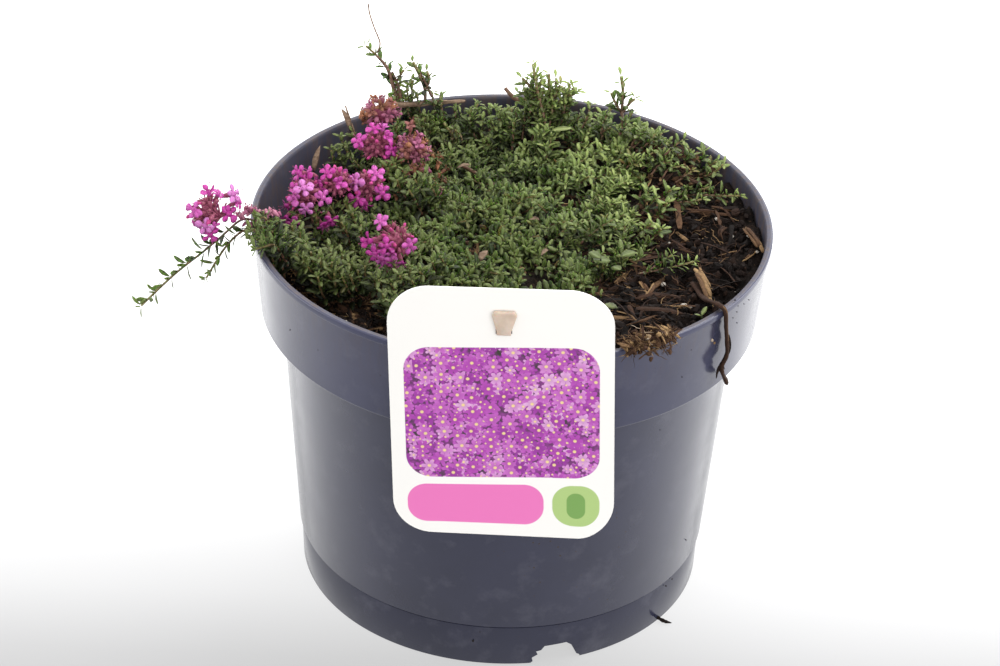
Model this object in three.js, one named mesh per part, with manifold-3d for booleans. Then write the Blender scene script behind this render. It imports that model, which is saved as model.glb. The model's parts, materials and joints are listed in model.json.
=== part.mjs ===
// Creeping thyme in a round nursery pot, with a hanging plant label.
// Millimetres, +Z up. The origin is the middle of the pot's underside, and the label faces -Y.
import * as THREE from "three";
import { mergeVertices } from "three/addons/utils/BufferGeometryUtils.js";
import Module from "manifold-3d";

const wasm = await Module();
wasm.setup();

// Pot
const potHeight = 146;
const rimRadius = 95;
const rimBeadHeight = 2.7;
const rimBeadStep = 0.7;
const rimWidth = 2.2;
const wall = 1.6;
const collarHeight = 35;
const collarFootRadius = 91.4;
const bodyTopRadius = 83.8;
const grooveHeight = 17.5;
const grooveRadius = 76.9;
const footStep = 0.8;
const footRadius = 75.4;
const floorRise = 5;
const floorThickness = 1.8;
const centrePadRadius = 24;
const potSides = 44;
const notchCount = 3;
const notchTurn = -73.3;
const notchHeight = 8;
const notchFootWidth = 22;
const notchTopWidth = 12;
const notchDepth = 10;
const drainHoleCount = 6;
const drainHoleRadius = 4.5;
const drainHoleCircle = 48;
const drainHoleSides = 12;

// Potting mix
const soilLevel = 130;
const soilTilt = 0.09;
const soilRings = 6;
const soilRelief = 1.8;
const heap = { x: 50, y: -64, reach: 20, height: 7 };
const fitGap = 0.35;
const chipCount = 40;
const chipCircle = 84;

// Label and the peg that it hangs on
const labelWidth = 76.5;
const labelHeight = 101.5;
const labelCorner = 14;
const labelThickness = 0.7;
const labelTilt = -2.6;
const labelCentre = new THREE.Vector3(-0.8, -96, 125.2);
const slotWidth = 7;
const slotHeight = 4;
const slotUp = 31.9;
const slotAcross = 1;
const pegWidth = 5;
const pegThickness = 1.4;
const stakeY = -77.5;
const stakeFoot = 84;
const tongueHeight = 8.6;
const tongueTopWidth = 8.6;

// Plant
const leafLength = 7.4;
const leafWidth = 3.3;
const leafCrown = 0.8;
const leafRoot = 1.1;
const crownRadius = 3;
const crownDepth = 40;
const matDome = 9.5;
const matThickness = 1.4;
const stemRadius = 0.75;
const matSides = 36;
const matRings = 9;
const matRelief = 2.2;
const backRise = 12;
const leftRise = 9;
const coverCount = 68;
const coverLeafLength = 8.1;
const coverLeafWidth = 5.4;
const headWidth = 3.4;
const headLength = 4.3;
const petalRadius = 3.4;

const colours = {
  pot: 0x4a4d59,
  soil: 0x2a1c14,
  card: 0xf6f4ee,
  peg: 0xd9c9b8,
  leaf: 0x4d6b38,
  stem: 0x6b4a35,
  petal: 0xc03fa6,
  faded: 0x9a5560,
  bark: 0x7a5836,
};

// A number from 0 to 1 that depends only on its two whole numbers.
function chance(index, stream) {
  const s = Math.sin(index * 127.1 + stream * 311.7) * 43758.5453;
  return s - Math.floor(s);
}

function between(low, high, index, stream) {
  return low + (high - low) * chance(index, stream);
}

// Solids from three.js geometry, and back
function solidFrom(geometry) {
  const bare = new THREE.BufferGeometry();
  bare.setAttribute("position", geometry.getAttribute("position").clone());
  if (geometry.index) bare.setIndex(geometry.index.clone());
  const merged = mergeVertices(bare, 1e-4);
  const source = merged.index.array;
  const kept = [];
  for (let i = 0; i < source.length; i += 3) {
    const [a, b, c] = [source[i], source[i + 1], source[i + 2]];
    if (a !== b && b !== c && a !== c) kept.push(a, b, c);
  }
  const make = (corners) =>
    new wasm.Manifold(
      new wasm.Mesh({
        numProp: 3,
        vertProperties: new Float32Array(merged.attributes.position.array),
        triVerts: new Uint32Array(corners),
      }),
    );
  const solid = make(kept);
  if (solid.volume() > 0) return solid;
  const turned = [];
  for (let i = 0; i < kept.length; i += 3) turned.push(kept[i], kept[i + 2], kept[i + 1]);
  return make(turned);
}

function geometryOf(solid) {
  const mesh = solid.getMesh();
  const geometry = new THREE.BufferGeometry();
  geometry.setAttribute("position", new THREE.BufferAttribute(new Float32Array(mesh.vertProperties), 3));
  geometry.setIndex(new THREE.BufferAttribute(new Uint32Array(mesh.triVerts), 1));
  geometry.computeVertexNormals();
  return geometry;
}

// The fused pieces, without any scrap that touches nothing else.
function fuse(pieces) {
  const joined = wasm.Manifold.union(pieces);
  const bodies = joined.decompose().sort((a, b) => b.volume() - a.volume());
  return bodies[0];
}

function lathe(profile, sides) {
  const points = profile.map(([r, z]) => new THREE.Vector2(r, z));
  return new THREE.LatheGeometry(points, sides).rotateX(Math.PI / 2);
}

// Places geometry that was made along +Z so that it stands at a point and looks along a direction.
function stand(geometry, at, along, spin = 0) {
  const turn = new THREE.Quaternion().setFromUnitVectors(
    new THREE.Vector3(0, 0, 1),
    along.clone().normalize(),
  );
  return geometry.rotateZ(spin).applyQuaternion(turn).translate(at.x, at.y, at.z);
}

// Pot

const shoulder = potHeight - collarHeight;
const innerTop = rimRadius - rimWidth;

// The inner radius of the pot's collar at a height
function collarInside(z) {
  const t = (z - shoulder - wall) / (collarHeight - 1 - wall);
  return THREE.MathUtils.lerp(collarFootRadius - wall, innerTop - 0.4, t);
}

function potSolid() {
  const top = potHeight;
  const profile = [
    [0, 0],
    [centrePadRadius, 0],
    [centrePadRadius + 3, floorRise],
    [footRadius - wall - 0.4, floorRise],
    [footRadius - wall - 0.4, 0],
    [footRadius, 0],
    [grooveRadius - footStep, grooveHeight],
    [grooveRadius, grooveHeight + 0.5],
    [bodyTopRadius, shoulder],
    [collarFootRadius - 0.4, shoulder],
    [collarFootRadius, shoulder + 0.6],
    [rimRadius - rimBeadStep, top - rimBeadHeight],
    [rimRadius, top - rimBeadHeight + 0.4],
    [rimRadius, top - 0.5],
    [rimRadius - 0.5, top],
    [innerTop, top],
    [innerTop - 0.4, top - 1],
    [collarFootRadius - wall, shoulder + wall],
    [bodyTopRadius - wall, shoulder + wall],
    [grooveRadius - wall, grooveHeight],
    [footRadius - wall - 0.6, floorRise + floorThickness],
    [centrePadRadius + 3 - floorThickness, floorRise + floorThickness],
    [centrePadRadius - floorThickness, floorThickness],
    [0, floorThickness],
  ];
  const cutters = [...Array(notchCount).keys()].map(notchCutter);
  cutters.push(...[...Array(drainHoleCount).keys()].map(drainCutter));
  return solidFrom(lathe(profile, potSides)).subtract(wasm.Manifold.union(cutters));
}

// A wedge-sided opening in the foot of the pot
function notchCutter(k) {
  const [low, high] = [notchFootWidth / 2, notchTopWidth / 2];
  const outline = [[-low, -1], [low, -1], [low, 0], [high, notchHeight], [-high, notchHeight], [-low, 0]];
  const notch = new THREE.Shape(outline.map(([x, z]) => new THREE.Vector2(x, z)));
  const block = new THREE.ExtrudeGeometry(notch, { depth: notchDepth + 4, bevelEnabled: false });
  block.rotateX(Math.PI / 2).rotateZ(Math.PI / 2).translate(footRadius - notchDepth, 0, 0);
  return solidFrom(block.rotateZ(THREE.MathUtils.degToRad(notchTurn + (360 / notchCount) * k)));
}

function drainCutter(k) {
  const drill = new THREE.CylinderGeometry(drainHoleRadius, drainHoleRadius, 8, drainHoleSides);
  drill.rotateX(Math.PI / 2).translate(drainHoleCircle, 0, floorRise);
  return solidFrom(
    drill.rotateZ(THREE.MathUtils.degToRad(notchTurn + (360 / drainHoleCount) * (k + 0.5))),
  );
}

// Potting mix

function soilPlane(x) {
  return soilLevel + soilTilt * x;
}

// A disc-shaped solid from rings of points. top(x, y) gives its height; below it come the rings of the
// skirt, each a radius and a height, or a flat underside at bottom(x, y).
function discSolid(edge, top, bottom, rings, sides, skirt = []) {
  const rows = [];
  for (let j = 1; j <= rings; j += 1) {
    const share = Math.sqrt(j / rings);
    rows.push(ringOf(sides, (a) => {
      const [ex, ey] = edge(a);
      return [ex * share, ey * share, top(ex * share, ey * share)];
    }));
  }
  skirt.forEach(([radius, z]) => {
    rows.push(ringOf(sides, (a) => [Math.cos(a) * radius, Math.sin(a) * radius, z]));
  });
  if (bottom) {
    rows.push(ringOf(sides, (a) => {
      const [ex, ey] = edge(a);
      return [ex, ey, bottom(ex, ey)];
    }));
  }
  const last = rows[rows.length - 1];
  const points = [[0, 0, top(0, 0)], ...rows.flat(), [0, 0, bottom ? bottom(0, 0) : last[0][2]]];
  const index = [];
  const at = (row, k) => 1 + row * sides + (k % sides);
  for (let k = 0; k < sides; k += 1) {
    index.push(0, at(0, k), at(0, k + 1));
    for (let j = 0; j + 1 < rows.length; j += 1) {
      index.push(at(j, k), at(j + 1, k), at(j + 1, k + 1));
      index.push(at(j, k), at(j + 1, k + 1), at(j, k + 1));
    }
    index.push(points.length - 1, at(rows.length - 1, k + 1), at(rows.length - 1, k));
  }
  const geometry = new THREE.BufferGeometry();
  geometry.setAttribute("position", new THREE.Float32BufferAttribute(points.flat(), 3));
  geometry.setIndex(index);
  return solidFrom(geometry);
}

function ringOf(sides, place) {
  return Array.from({ length: sides }, (_, k) => place((k / sides) * Math.PI * 2));
}

function rumple(x, y, size) {
  const a = Math.sin(x / 7.3 + 1.7) * Math.cos(y / 6.1 - 0.6);
  const b = Math.sin(x / 3.9 - y / 4.7 + 2.1);
  return size * (0.6 * a + 0.4 * b);
}

// The mat's outline in plan: its distance from the mat's middle at each angle.
const matMiddle = new THREE.Vector2(-2, 18);
const matReach = [
  [0, 54],
  [26, 80],
  [55, 74],
  [80, 70],
  [105, 67],
  [127, 69],
  [144, 64],
  [156, 55],
  [176, 58],
  [189, 74],
  [198, 84],
  [208, 87],
  [221, 77],
  [237, 78],
  [253, 64],
  [281, 61],
  [303, 62],
  [326, 62],
  [346, 52],
];

function matEdge(angle) {
  const degrees = ((THREE.MathUtils.radToDeg(angle) % 360) + 360) % 360;
  const count = matReach.length;
  let k = matReach.findIndex(([a]) => a > degrees) - 1;
  if (k < 0) k = count - 1;
  const [a0, r0] = matReach[k];
  const [a1, r1] = k + 1 < count ? matReach[k + 1] : [360, matReach[0][1]];
  const t = (degrees - a0) / (a1 - a0);
  const smooth = t * t * (3 - 2 * t);
  return r0 + (r1 - r0) * smooth;
}

// 0 in the middle of the mat, 1 at its edge
function matShare(x, y) {
  const dx = x - matMiddle.x;
  const dy = y - matMiddle.y;
  return Math.hypot(dx, dy) / matEdge(Math.atan2(dy, dx));
}

function soilTop(x, y) {
  const bare = THREE.MathUtils.smoothstep(matShare(x, y), 0.95, 1.15);
  const away = Math.hypot(x - heap.x, y - heap.y) / heap.reach;
  return soilPlane(x) + bare * (1.2 + rumple(x, y, soilRelief) + heap.height * Math.exp(-away * away));
}

// A splinter of bark that lies half sunk in the bare mix, away from the label's stake
function chipSolid(k) {
  const reach = chipCircle * (0.3 + 0.68 * Math.sqrt(chance(k, 1)));
  const angle = chance(k, 2) * Math.PI * 2;
  const [x, y] = [Math.cos(angle) * reach, Math.sin(angle) * reach];
  const nearStake = Math.hypot(x, y - stakeY) < 12;
  if (matShare(x, y) < 1.08 || nearStake) return null;
  const chip = new THREE.CylinderGeometry(
    between(0.7, 1.4, k, 3),
    between(1.2, 2.4, k, 4),
    between(7, 17, k, 5),
    4,
  );
  chip.scale(1, 1, between(0.5, 0.8, k, 6));
  chip.rotateX(between(-0.22, 0.22, k, 7));
  chip.rotateZ(chance(k, 8) * Math.PI);
  chip.translate(x, y, soilTop(x, y) + 0.5);
  return solidFrom(chip);
}

function soilSolid() {
  const ledge = shoulder + wall + fitGap;
  const skirt = [
    [collarFootRadius - wall - fitGap, ledge],
    [bodyTopRadius - wall - fitGap, ledge],
    [grooveRadius - wall - fitGap, grooveHeight],
    [footRadius - wall - 1.2, floorRise + floorThickness + fitGap],
  ];
  const edge = (a) => {
    const radius = collarInside(soilPlane(Math.cos(a) * rimRadius) - 2) - fitGap;
    return [Math.cos(a) * radius, Math.sin(a) * radius];
  };
  const bed = discSolid(edge, soilTop, null, soilRings, potSides, skirt);
  const chips = Array.from({ length: chipCount }, (_, k) => chipSolid(k)).filter(Boolean);
  const chipRoom = solidFrom(
    new THREE.CylinderGeometry(rimRadius - 4.5, rimRadius - 4.5, 60, potSides)
      .rotateX(Math.PI / 2)
      .translate(0, 0, soilLevel),
  );
  const stakeRoom = solidFrom(
    new THREE.BoxGeometry(pegWidth + 2 * fitGap, pegThickness + 2 * fitGap, 100)
      .translate(slotCentre().x, stakeY, stakeFoot + 50 - fitGap),
  );
  const dressed = wasm.Manifold.union([bed, wasm.Manifold.union(chips).intersect(chipRoom)]);
  return fuse([dressed.subtract(stakeRoom).subtract(crownSolid(fitGap))]);
}

// The woody crown below the mat, or with a gap added the hole that it stands in
function crownSolid(gap) {
  const foot = soilPlane(matMiddle.x) - crownDepth - gap;
  const tall = crownDepth + gap + matThickness + 2;
  const crown = new THREE.CylinderGeometry(crownRadius + gap, crownRadius * 0.6 + gap, tall, 8);
  crown.rotateX(Math.PI / 2).translate(matMiddle.x, matMiddle.y, foot + tall / 2);
  return solidFrom(crown);
}

// The pot's collar, thicker by the gap on every side
function collarRoom() {
  const profile = [
    [collarInside(shoulder) - fitGap, shoulder],
    [rimRadius + fitGap, shoulder],
    [rimRadius + fitGap, potHeight + fitGap],
    [collarInside(potHeight) - fitGap, potHeight + fitGap],
    [collarInside(shoulder) - fitGap, shoulder],
  ];
  return solidFrom(lathe(profile, potSides));
}

// Cuts away what would reach into the potting mix, the pot or other pieces, with a narrow gap.
function clearOf(soil, shape, others = []) {
  const room = wasm.Manifold.union([soil, soil.translate([0, 0, fitGap]), collarRoom(), ...others]);
  return fuse([shape.subtract(room)]);
}

// Label and peg

function roundedOutline(width, height, radius) {
  const shape = new THREE.Shape();
  const [x, y] = [width / 2, height / 2];
  shape.moveTo(-x + radius, -y);
  shape.lineTo(x - radius, -y);
  shape.absarc(x - radius, -y + radius, radius, -Math.PI / 2, 0);
  shape.lineTo(x, y - radius);
  shape.absarc(x - radius, y - radius, radius, 0, Math.PI / 2);
  shape.lineTo(-x + radius, y);
  shape.absarc(-x + radius, y - radius, radius, Math.PI / 2, Math.PI);
  shape.lineTo(-x, -y + radius);
  shape.absarc(-x + radius, -y + radius, radius, Math.PI, Math.PI * 1.5);
  return shape;
}

function slotCentre() {
  const tilt = THREE.MathUtils.degToRad(labelTilt);
  return {
    x: labelCentre.x + Math.sin(tilt) * slotUp + Math.cos(tilt) * slotAcross,
    z: labelCentre.z + Math.cos(tilt) * slotUp - Math.sin(tilt) * slotAcross,
  };
}

function labelGeometry() {
  const shape = roundedOutline(labelWidth, labelHeight, labelCorner);
  const slot = new THREE.Path();
  slot.moveTo(slotAcross - slotWidth / 2, slotUp - slotHeight / 2);
  slot.lineTo(slotAcross + slotWidth / 2, slotUp - slotHeight / 2);
  slot.lineTo(slotAcross + slotWidth / 2, slotUp + slotHeight / 2);
  slot.lineTo(slotAcross - slotWidth / 2, slotUp + slotHeight / 2);
  slot.closePath();
  shape.holes.push(slot);
  const card = new THREE.ExtrudeGeometry(shape, {
    depth: labelThickness,
    bevelEnabled: false,
    curveSegments: 8,
  });
  card.translate(0, 0, -labelThickness / 2);
  return card.rotateX(Math.PI / 2);
}

function pegSolid() {
  const { x, z: armZ } = slotCentre();
  const front = labelCentre.y - labelThickness / 2 - fitGap - pegThickness;
  const box = (w, d, h, cx, cy, cz) =>
    solidFrom(new THREE.BoxGeometry(w, d, h).translate(cx, cy, cz));
  const stake = box(pegWidth, pegThickness, armZ - stakeFoot, x, stakeY, (armZ + stakeFoot) / 2);
  const reach = stakeY - front;
  const arm = box(
    pegWidth,
    reach + pegThickness / 2,
    pegThickness,
    x,
    stakeY - reach / 2 + pegThickness / 4,
    armZ,
  );
  const tongue = new THREE.Shape([
    new THREE.Vector2(-pegWidth / 2, -pegThickness / 2),
    new THREE.Vector2(pegWidth / 2, -pegThickness / 2),
    new THREE.Vector2(tongueTopWidth / 2, tongueHeight - 2),
    new THREE.Vector2(tongueTopWidth / 2 - 1, tongueHeight),
    new THREE.Vector2(-tongueTopWidth / 2 + 1, tongueHeight),
    new THREE.Vector2(-tongueTopWidth / 2, tongueHeight - 2),
  ]);
  const head = new THREE.ExtrudeGeometry(tongue, { depth: pegThickness, bevelEnabled: false });
  head.rotateX(Math.PI / 2).translate(x, front + pegThickness, armZ);
  return fuse([stake, arm, solidFrom(head)]);
}

// Plant

// A ring of leaves round a stem: one closed blade with a blunt tip for each leaf, arched up by lift.
function whorl(leaves, length, width, lift, root = leafRoot) {
  const outline = [];
  const step = (Math.PI * 2) / leaves;
  for (let k = 0; k < leaves; k += 1) {
    const a = k * step;
    const [c, s] = [Math.cos(a), Math.sin(a)];
    const place = (along, side, z) => [c * along - s * side, s * along + c * side, z];
    outline.push(place(length * 0.7, -width / 2, lift * 0.7), place(length, width * 0.3, lift));
    const valley = a + step / 2;
    const inner = width * 0.3;
    outline.push([Math.cos(valley) * inner, Math.sin(valley) * inner, 0]);
  }
  return starGeometry(outline, leafCrown, -root);
}

// A closed star: an outline joined to a point above and a point below its middle.
function starGeometry(outline, high, low) {
  const points = [...outline, [0, 0, high], [0, 0, low]];
  const index = [];
  const n = outline.length;
  for (let k = 0; k < n; k += 1) {
    const next = (k + 1) % n;
    index.push(n, k, next, n + 1, next, k);
  }
  const geometry = new THREE.BufferGeometry();
  geometry.setAttribute("position", new THREE.Float32BufferAttribute(points.flat(), 3));
  geometry.setIndex(index);
  return geometry;
}

function polygonShape(radius, sides) {
  return new THREE.Shape(
    Array.from({ length: sides }, (_, k) => {
      const a = (k / sides) * Math.PI * 2;
      return new THREE.Vector2(Math.cos(a) * radius, Math.sin(a) * radius);
    }),
  );
}

function stemAlong(points, radius, steps, sides = 4) {
  const curve = new THREE.CatmullRomCurve3(points);
  return new THREE.ExtrudeGeometry(polygonShape(radius, sides), {
    steps,
    extrudePath: curve,
    bevelEnabled: false,
  });
}

// A leafy stem: a tube along its points, with whorls of leaves from one share of its length to its tip.
function leafyStem(points, { steps, from, whorls, leaves = 4, length = leafLength, seed }) {
  const curve = new THREE.CatmullRomCurve3(points);
  const pieces = [solidFrom(stemAlong(points, stemRadius, steps))];
  for (let k = 0; k < whorls; k += 1) {
    const t = from + ((1 - from) * k) / Math.max(1, whorls - 1);
    const size = length * between(0.85, 1.1, k, seed) * (t > 0.9 ? 0.85 : 1);
    const blade = whorl(leaves, size, size * (leafWidth / leafLength), size * 0.42);
    const spin = (k % 2) * (Math.PI / leaves) + chance(k, seed + 1) * 0.4;
    pieces.push(solidFrom(stand(blade, curve.getPointAt(t), curve.getTangentAt(t), spin)));
  }
  return pieces;
}

// The mat is higher where it presses against the back of the pot and where it spills over the left.
function matRise(x, y) {
  const smooth = THREE.MathUtils.smoothstep;
  const back = smooth(Math.hypot(x, y), 50, 90) * smooth(y, 0, 50);
  const left = smooth(-x, 60, 85) * (1 - smooth(y, -6, 6));
  return backRise * back + leftRise * left;
}

function matTop(x, y) {
  const share = Math.min(1, matShare(x, y));
  const dome = matDome * Math.pow(1 - share * share, 0.45);
  return soilPlane(x) + fitGap + matThickness + dome + matRise(x, y);
}

// Every stem starts inside the mat, at a point given by its place in plan alone.
function rooted([[x, y], ...rest]) {
  const root = new THREE.Vector3(x, y, soilPlane(x) + fitGap + matThickness);
  return [root, ...rest.map(vector)];
}

// Stems that trail over the left of the rim and hang beside the pot
const trails = [
  {
    points: [
      [-70, -14],
      [-84, -15, 140],
      [-92, -14, 148.2],
      [-97.5, -12, 148],
      [-105, -11, 140],
      [-112, -11, 133],
      [-122, -15, 125.5],
      [-133, -25, 118],
    ],
    sizes: { steps: 11, from: 0.52, whorls: 7, leaves: 2, length: 6.2, seed: 61 },
  },
  {
    points: [
      [-68, -22],
      [-77, -24, 135],
      [-83.5, -24.5, 143.5],
      [-89.5, -23, 148.8],
      [-95.5, -20.5, 148.8],
      [-101.5, -18.5, 142],
      [-106, -17.5, 134],
      [-110, -17, 126],
    ],
    sizes: { steps: 9, from: 0.66, whorls: 3, leaves: 2, length: 5.6, seed: 65 },
  },
];
// Shoots that stand up at the back of the pot
const backShoots = [
  { points: [[11, 72], [9, 76, 152], [6, 74, 168]], from: 0.3, whorls: 5, seed: 21 },
  { points: [[15, 70], [20, 76, 148], [24, 80, 156]], from: 0.3, whorls: 3, seed: 25 },
  { points: [[40, 68], [42, 74, 150], [40, 77, 163]], from: 0.3, whorls: 4, seed: 31 },
  { points: [[-38, 64], [-42, 77, 147], [-54, 92, 165]], from: 0.55, whorls: 4, seed: 41 },
  { points: [[-28, 66], [-31, 75, 148], [-35, 78, 162]], from: 0.6, whorls: 3, seed: 45 },
];
// Flower heads: the foot of each stalk, the head's middle, the way it faces, its size and its florets
const heads = [
  {
    name: "flower_head_rim",
    foot: [-66, -22],
    over: [[-84, -25.5, 145], [-89.5, -24, 149.4], [-97, -19.5, 150.2]],
    middle: [-109, -15, 152.5],
    lean: [-1, 0.2, 0.35],
    size: 1.05,
    florets: 6,
  },
  {
    name: "flower_head_left_low",
    foot: [-68, 2],
    middle: [-76, 9, 147],
    lean: [-0.35, -0.2, 1],
    size: 1.05,
    florets: 6,
  },
  {
    name: "flower_head_left_high",
    foot: [-58, 10],
    middle: [-64.5, 15, 148.5],
    lean: [0, -0.2, 1],
    size: 0.95,
    florets: 5,
  },
  {
    name: "flower_head_centre_left",
    foot: [-50, 12],
    middle: [-52.5, 17, 147.5],
    lean: [0.1, -0.3, 1],
    size: 0.9,
    florets: 4,
  },
  {
    name: "flower_head_back_left",
    foot: [-44, 36],
    middle: [-51.5, 43, 149.5],
    lean: [-0.2, -0.2, 1],
    size: 0.95,
    florets: 5,
  },
  {
    name: "flower_head_front",
    foot: [-40, -22],
    middle: [-41.5, -23, 148],
    lean: [0, -0.4, 1],
    size: 1.1,
    florets: 6,
  },
];
const fadedHeads = [
  {
    name: "faded_head_back",
    foot: [-44, 58],
    middle: [-51, 62, 153.5],
    lean: [-0.1, 0, 1],
    size: 1.1,
  },
  {
    name: "faded_head_mid",
    foot: [-32, 38],
    middle: [-38, 42, 149],
    lean: [0.2, -0.2, 1],
    size: 0.95,
  },
];

const vector = ([x, y, z]) => new THREE.Vector3(x, y, z);

// Rosettes of leaves lie over the mat at the points of a sunflower spiral, clear of the flower heads.
function rosettePieces() {
  const golden = Math.PI * (3 - Math.sqrt(5));
  const keepClear = [...heads, ...fadedHeads].map((head) => head.middle);
  const pieces = [];
  for (let k = 0; k < coverCount; k += 1) {
    const angle = k * golden;
    const share = Math.sqrt((k + 0.5) / coverCount);
    const reach = share * matEdge(angle);
    const x = matMiddle.x + Math.cos(angle) * reach + between(-2, 2, k, 51);
    const y = matMiddle.y + Math.sin(angle) * reach + between(-2, 2, k, 52);
    const crowded = keepClear.some(([hx, hy]) => Math.hypot(x - hx, y - hy) < 8.5);
    if (Math.hypot(x, y) < 83 && !crowded) pieces.push(rosette(x, y, share, k));
  }
  return pieces;
}

function rosette(x, y, share, k) {
  const out = new THREE.Vector3(x - matMiddle.x, y - matMiddle.y, 0).normalize();
  const along = new THREE.Vector3(
    out.x * 0.5 * share + between(-0.28, 0.28, k, 53),
    out.y * 0.5 * share + between(-0.28, 0.28, k, 54),
    1,
  );
  const height = between(1.2, 5, k, 55);
  const size = between(0.88, 1.12, k, 56);
  const at = new THREE.Vector3(x, y, matTop(x, y)).addScaledVector(along.normalize(), height);
  const length = coverLeafLength * size;
  const blade = whorl(4, length, coverLeafWidth * size, length * 0.22, height + 2.5);
  return solidFrom(stand(blade, at, along, chance(k, 57) * Math.PI));
}

function headUp({ lean }) {
  return vector(lean).normalize();
}

// The stalk ends a narrow gap below the head.
function stalkSolid({ foot, over = [], middle, ...head }) {
  const top = vector(middle).addScaledVector(headUp(head), -headLength * head.size - fitGap);
  const points = [...rooted([foot, ...over]), top];
  return solidFrom(stemAlong(points, stemRadius, 2 * points.length - 2));
}

function matSolid() {
  const edge = (a) => [Math.cos(a) * matEdge(a), Math.sin(a) * matEdge(a)];
  const place = (f) => (x, y) => f(x + matMiddle.x, y + matMiddle.y);
  const leafy = (x, y) => {
    const spot = Math.round(x * 7) + Math.round(y * 13);
    return matTop(x, y) + between(-matRelief, matRelief, spot, 50) * (1 - matShare(x, y) ** 4);
  };
  const core = discSolid(
    edge,
    place(leafy),
    place((x) => soilPlane(x) + fitGap),
    matRings,
    matSides,
  ).translate([matMiddle.x, matMiddle.y, 0]);
  const pieces = [core, crownSolid(0), ...rosettePieces()];
  backShoots.forEach(({ points, from, whorls, seed }) => {
    pieces.push(...leafyStem(rooted(points), { steps: 4, from, whorls, seed }));
  });
  trails.forEach(({ points, sizes }) => pieces.push(...leafyStem(rooted(points), sizes)));
  [...heads, ...fadedHeads].forEach((head) => pieces.push(stalkSolid(head)));
  return fuse(pieces);
}

// Flowers

// A four-lobed floret: a flared mouth on a tube that runs down to a point.
function floret(radius, tube) {
  const outline = [];
  for (let k = 0; k < 4; k += 1) {
    const a = (k * Math.PI) / 2;
    outline.push([Math.cos(a - 0.42) * radius, Math.sin(a - 0.42) * radius, 0.4]);
    outline.push([Math.cos(a + 0.42) * radius, Math.sin(a + 0.42) * radius, 0.4]);
    const valley = a + Math.PI / 4;
    outline.push([Math.cos(valley) * radius * 0.45, Math.sin(valley) * radius * 0.45, 0]);
  }
  return starGeometry(outline, 0.5, -tube);
}

// Directions spread evenly over the upper part of a sphere.
function spread(count, lowest, seed) {
  return Array.from({ length: count }, (_, k) => {
    const z = 1 - ((k + 0.5) / count) * (1 - lowest);
    const a = k * 2.4 + seed;
    const flat = Math.sqrt(1 - z * z);
    return new THREE.Vector3(Math.cos(a) * flat, Math.sin(a) * flat, z);
  });
}

function headCore(size) {
  return new THREE.IcosahedronGeometry(headWidth * size, 0).scale(1, 1, headLength / headWidth);
}

function headSolid({ middle, size, florets, ...head }, order) {
  const up = headUp(head);
  const centre = vector(middle);
  const core = headCore(size);
  const pieces = [solidFrom(stand(core, centre, up))];
  const turn = new THREE.Quaternion().setFromUnitVectors(new THREE.Vector3(0, 0, 1), up);
  spread(florets, 0.05, order).forEach((way, k) => {
    const out = way.clone().applyQuaternion(turn);
    const mouth = centre.clone().addScaledVector(out, 5.9 * size);
    const bloom = floret(petalRadius * between(0.9, 1.1, k, order), 4.6 * size);
    pieces.push(solidFrom(stand(bloom, mouth, out, chance(k, order + 5) * 1.5)));
  });
  return fuse(pieces);
}

// A head past flowering: only the pointed calyxes are left on its core.
function fadedSolid({ middle, size, ...head }, order) {
  const up = headUp(head);
  const centre = vector(middle);
  const core = headCore(size);
  const pieces = [solidFrom(stand(core, centre, up))];
  const turn = new THREE.Quaternion().setFromUnitVectors(new THREE.Vector3(0, 0, 1), up);
  spread(12, -0.2, order).forEach((way) => {
    const out = way.clone().applyQuaternion(turn);
    const calyx = new THREE.ConeGeometry(1.1, 5, 3).rotateX(Math.PI / 2);
    const foot = centre.clone().addScaledVector(out, 4.2 * size);
    pieces.push(solidFrom(stand(calyx, foot, out)));
  });
  return fuse(pieces);
}

// Loose matter

// Stems that creep over the bare soil on the right
const runners = [
  {
    name: "runner_right_back",
    points: [[66, 30, 141], [75, 29, 141.5], [84, 27, 142]],
    whorls: 3,
    seed: 71,
  },
  {
    name: "runner_right_front",
    points: [[50, -24, 139.5], [58, -22, 140], [66, -19, 140.5]],
    whorls: 2,
    seed: 75,
  },
  {
    name: "runner_right_rim",
    points: [[70, 43, 141], [74.5, 40.5, 144.5], [78, 38.5, 149.5]],
    whorls: 2,
    seed: 79,
  },
];

function runnerSolid({ points, whorls, seed }) {
  return fuse(leafyStem(points.map(vector), { steps: 2, from: 0.1, whorls, length: 5.6, seed }));
}

// A strip of bark fibre that lies on the mix, crosses the rim and hangs down outside
const stripPoints = [
  [66, -30, 139.5],
  [69, -44, 142],
  [72.5, -56.5, 147.8],
  [76.2, -58.2, 146.4],
  [77.8, -57.2, 139],
  [79.5, -53.5, 127],
  [77.5, -56, 122],
  [80, -52, 113],
];

function barkStrip() {
  const curve = new THREE.CatmullRomCurve3(stripPoints.map(vector));
  const section = new THREE.Shape([
    new THREE.Vector2(-0.6, -1.3),
    new THREE.Vector2(0.5, -0.9),
    new THREE.Vector2(0.6, 1.1),
    new THREE.Vector2(-0.4, 1.3),
  ]);
  return new THREE.ExtrudeGeometry(section, { steps: 22, extrudePath: curve, bevelEnabled: false });
}

// A torn lump of fibrous peat that lies across the front of the rim
const clumpStart = new THREE.Vector3(42, -84.5, 149.8);
const clumpRun = new THREE.Vector3(14, 9, 0);
const clumpLumps = 5;
const clumpShreds = 7;

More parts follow.
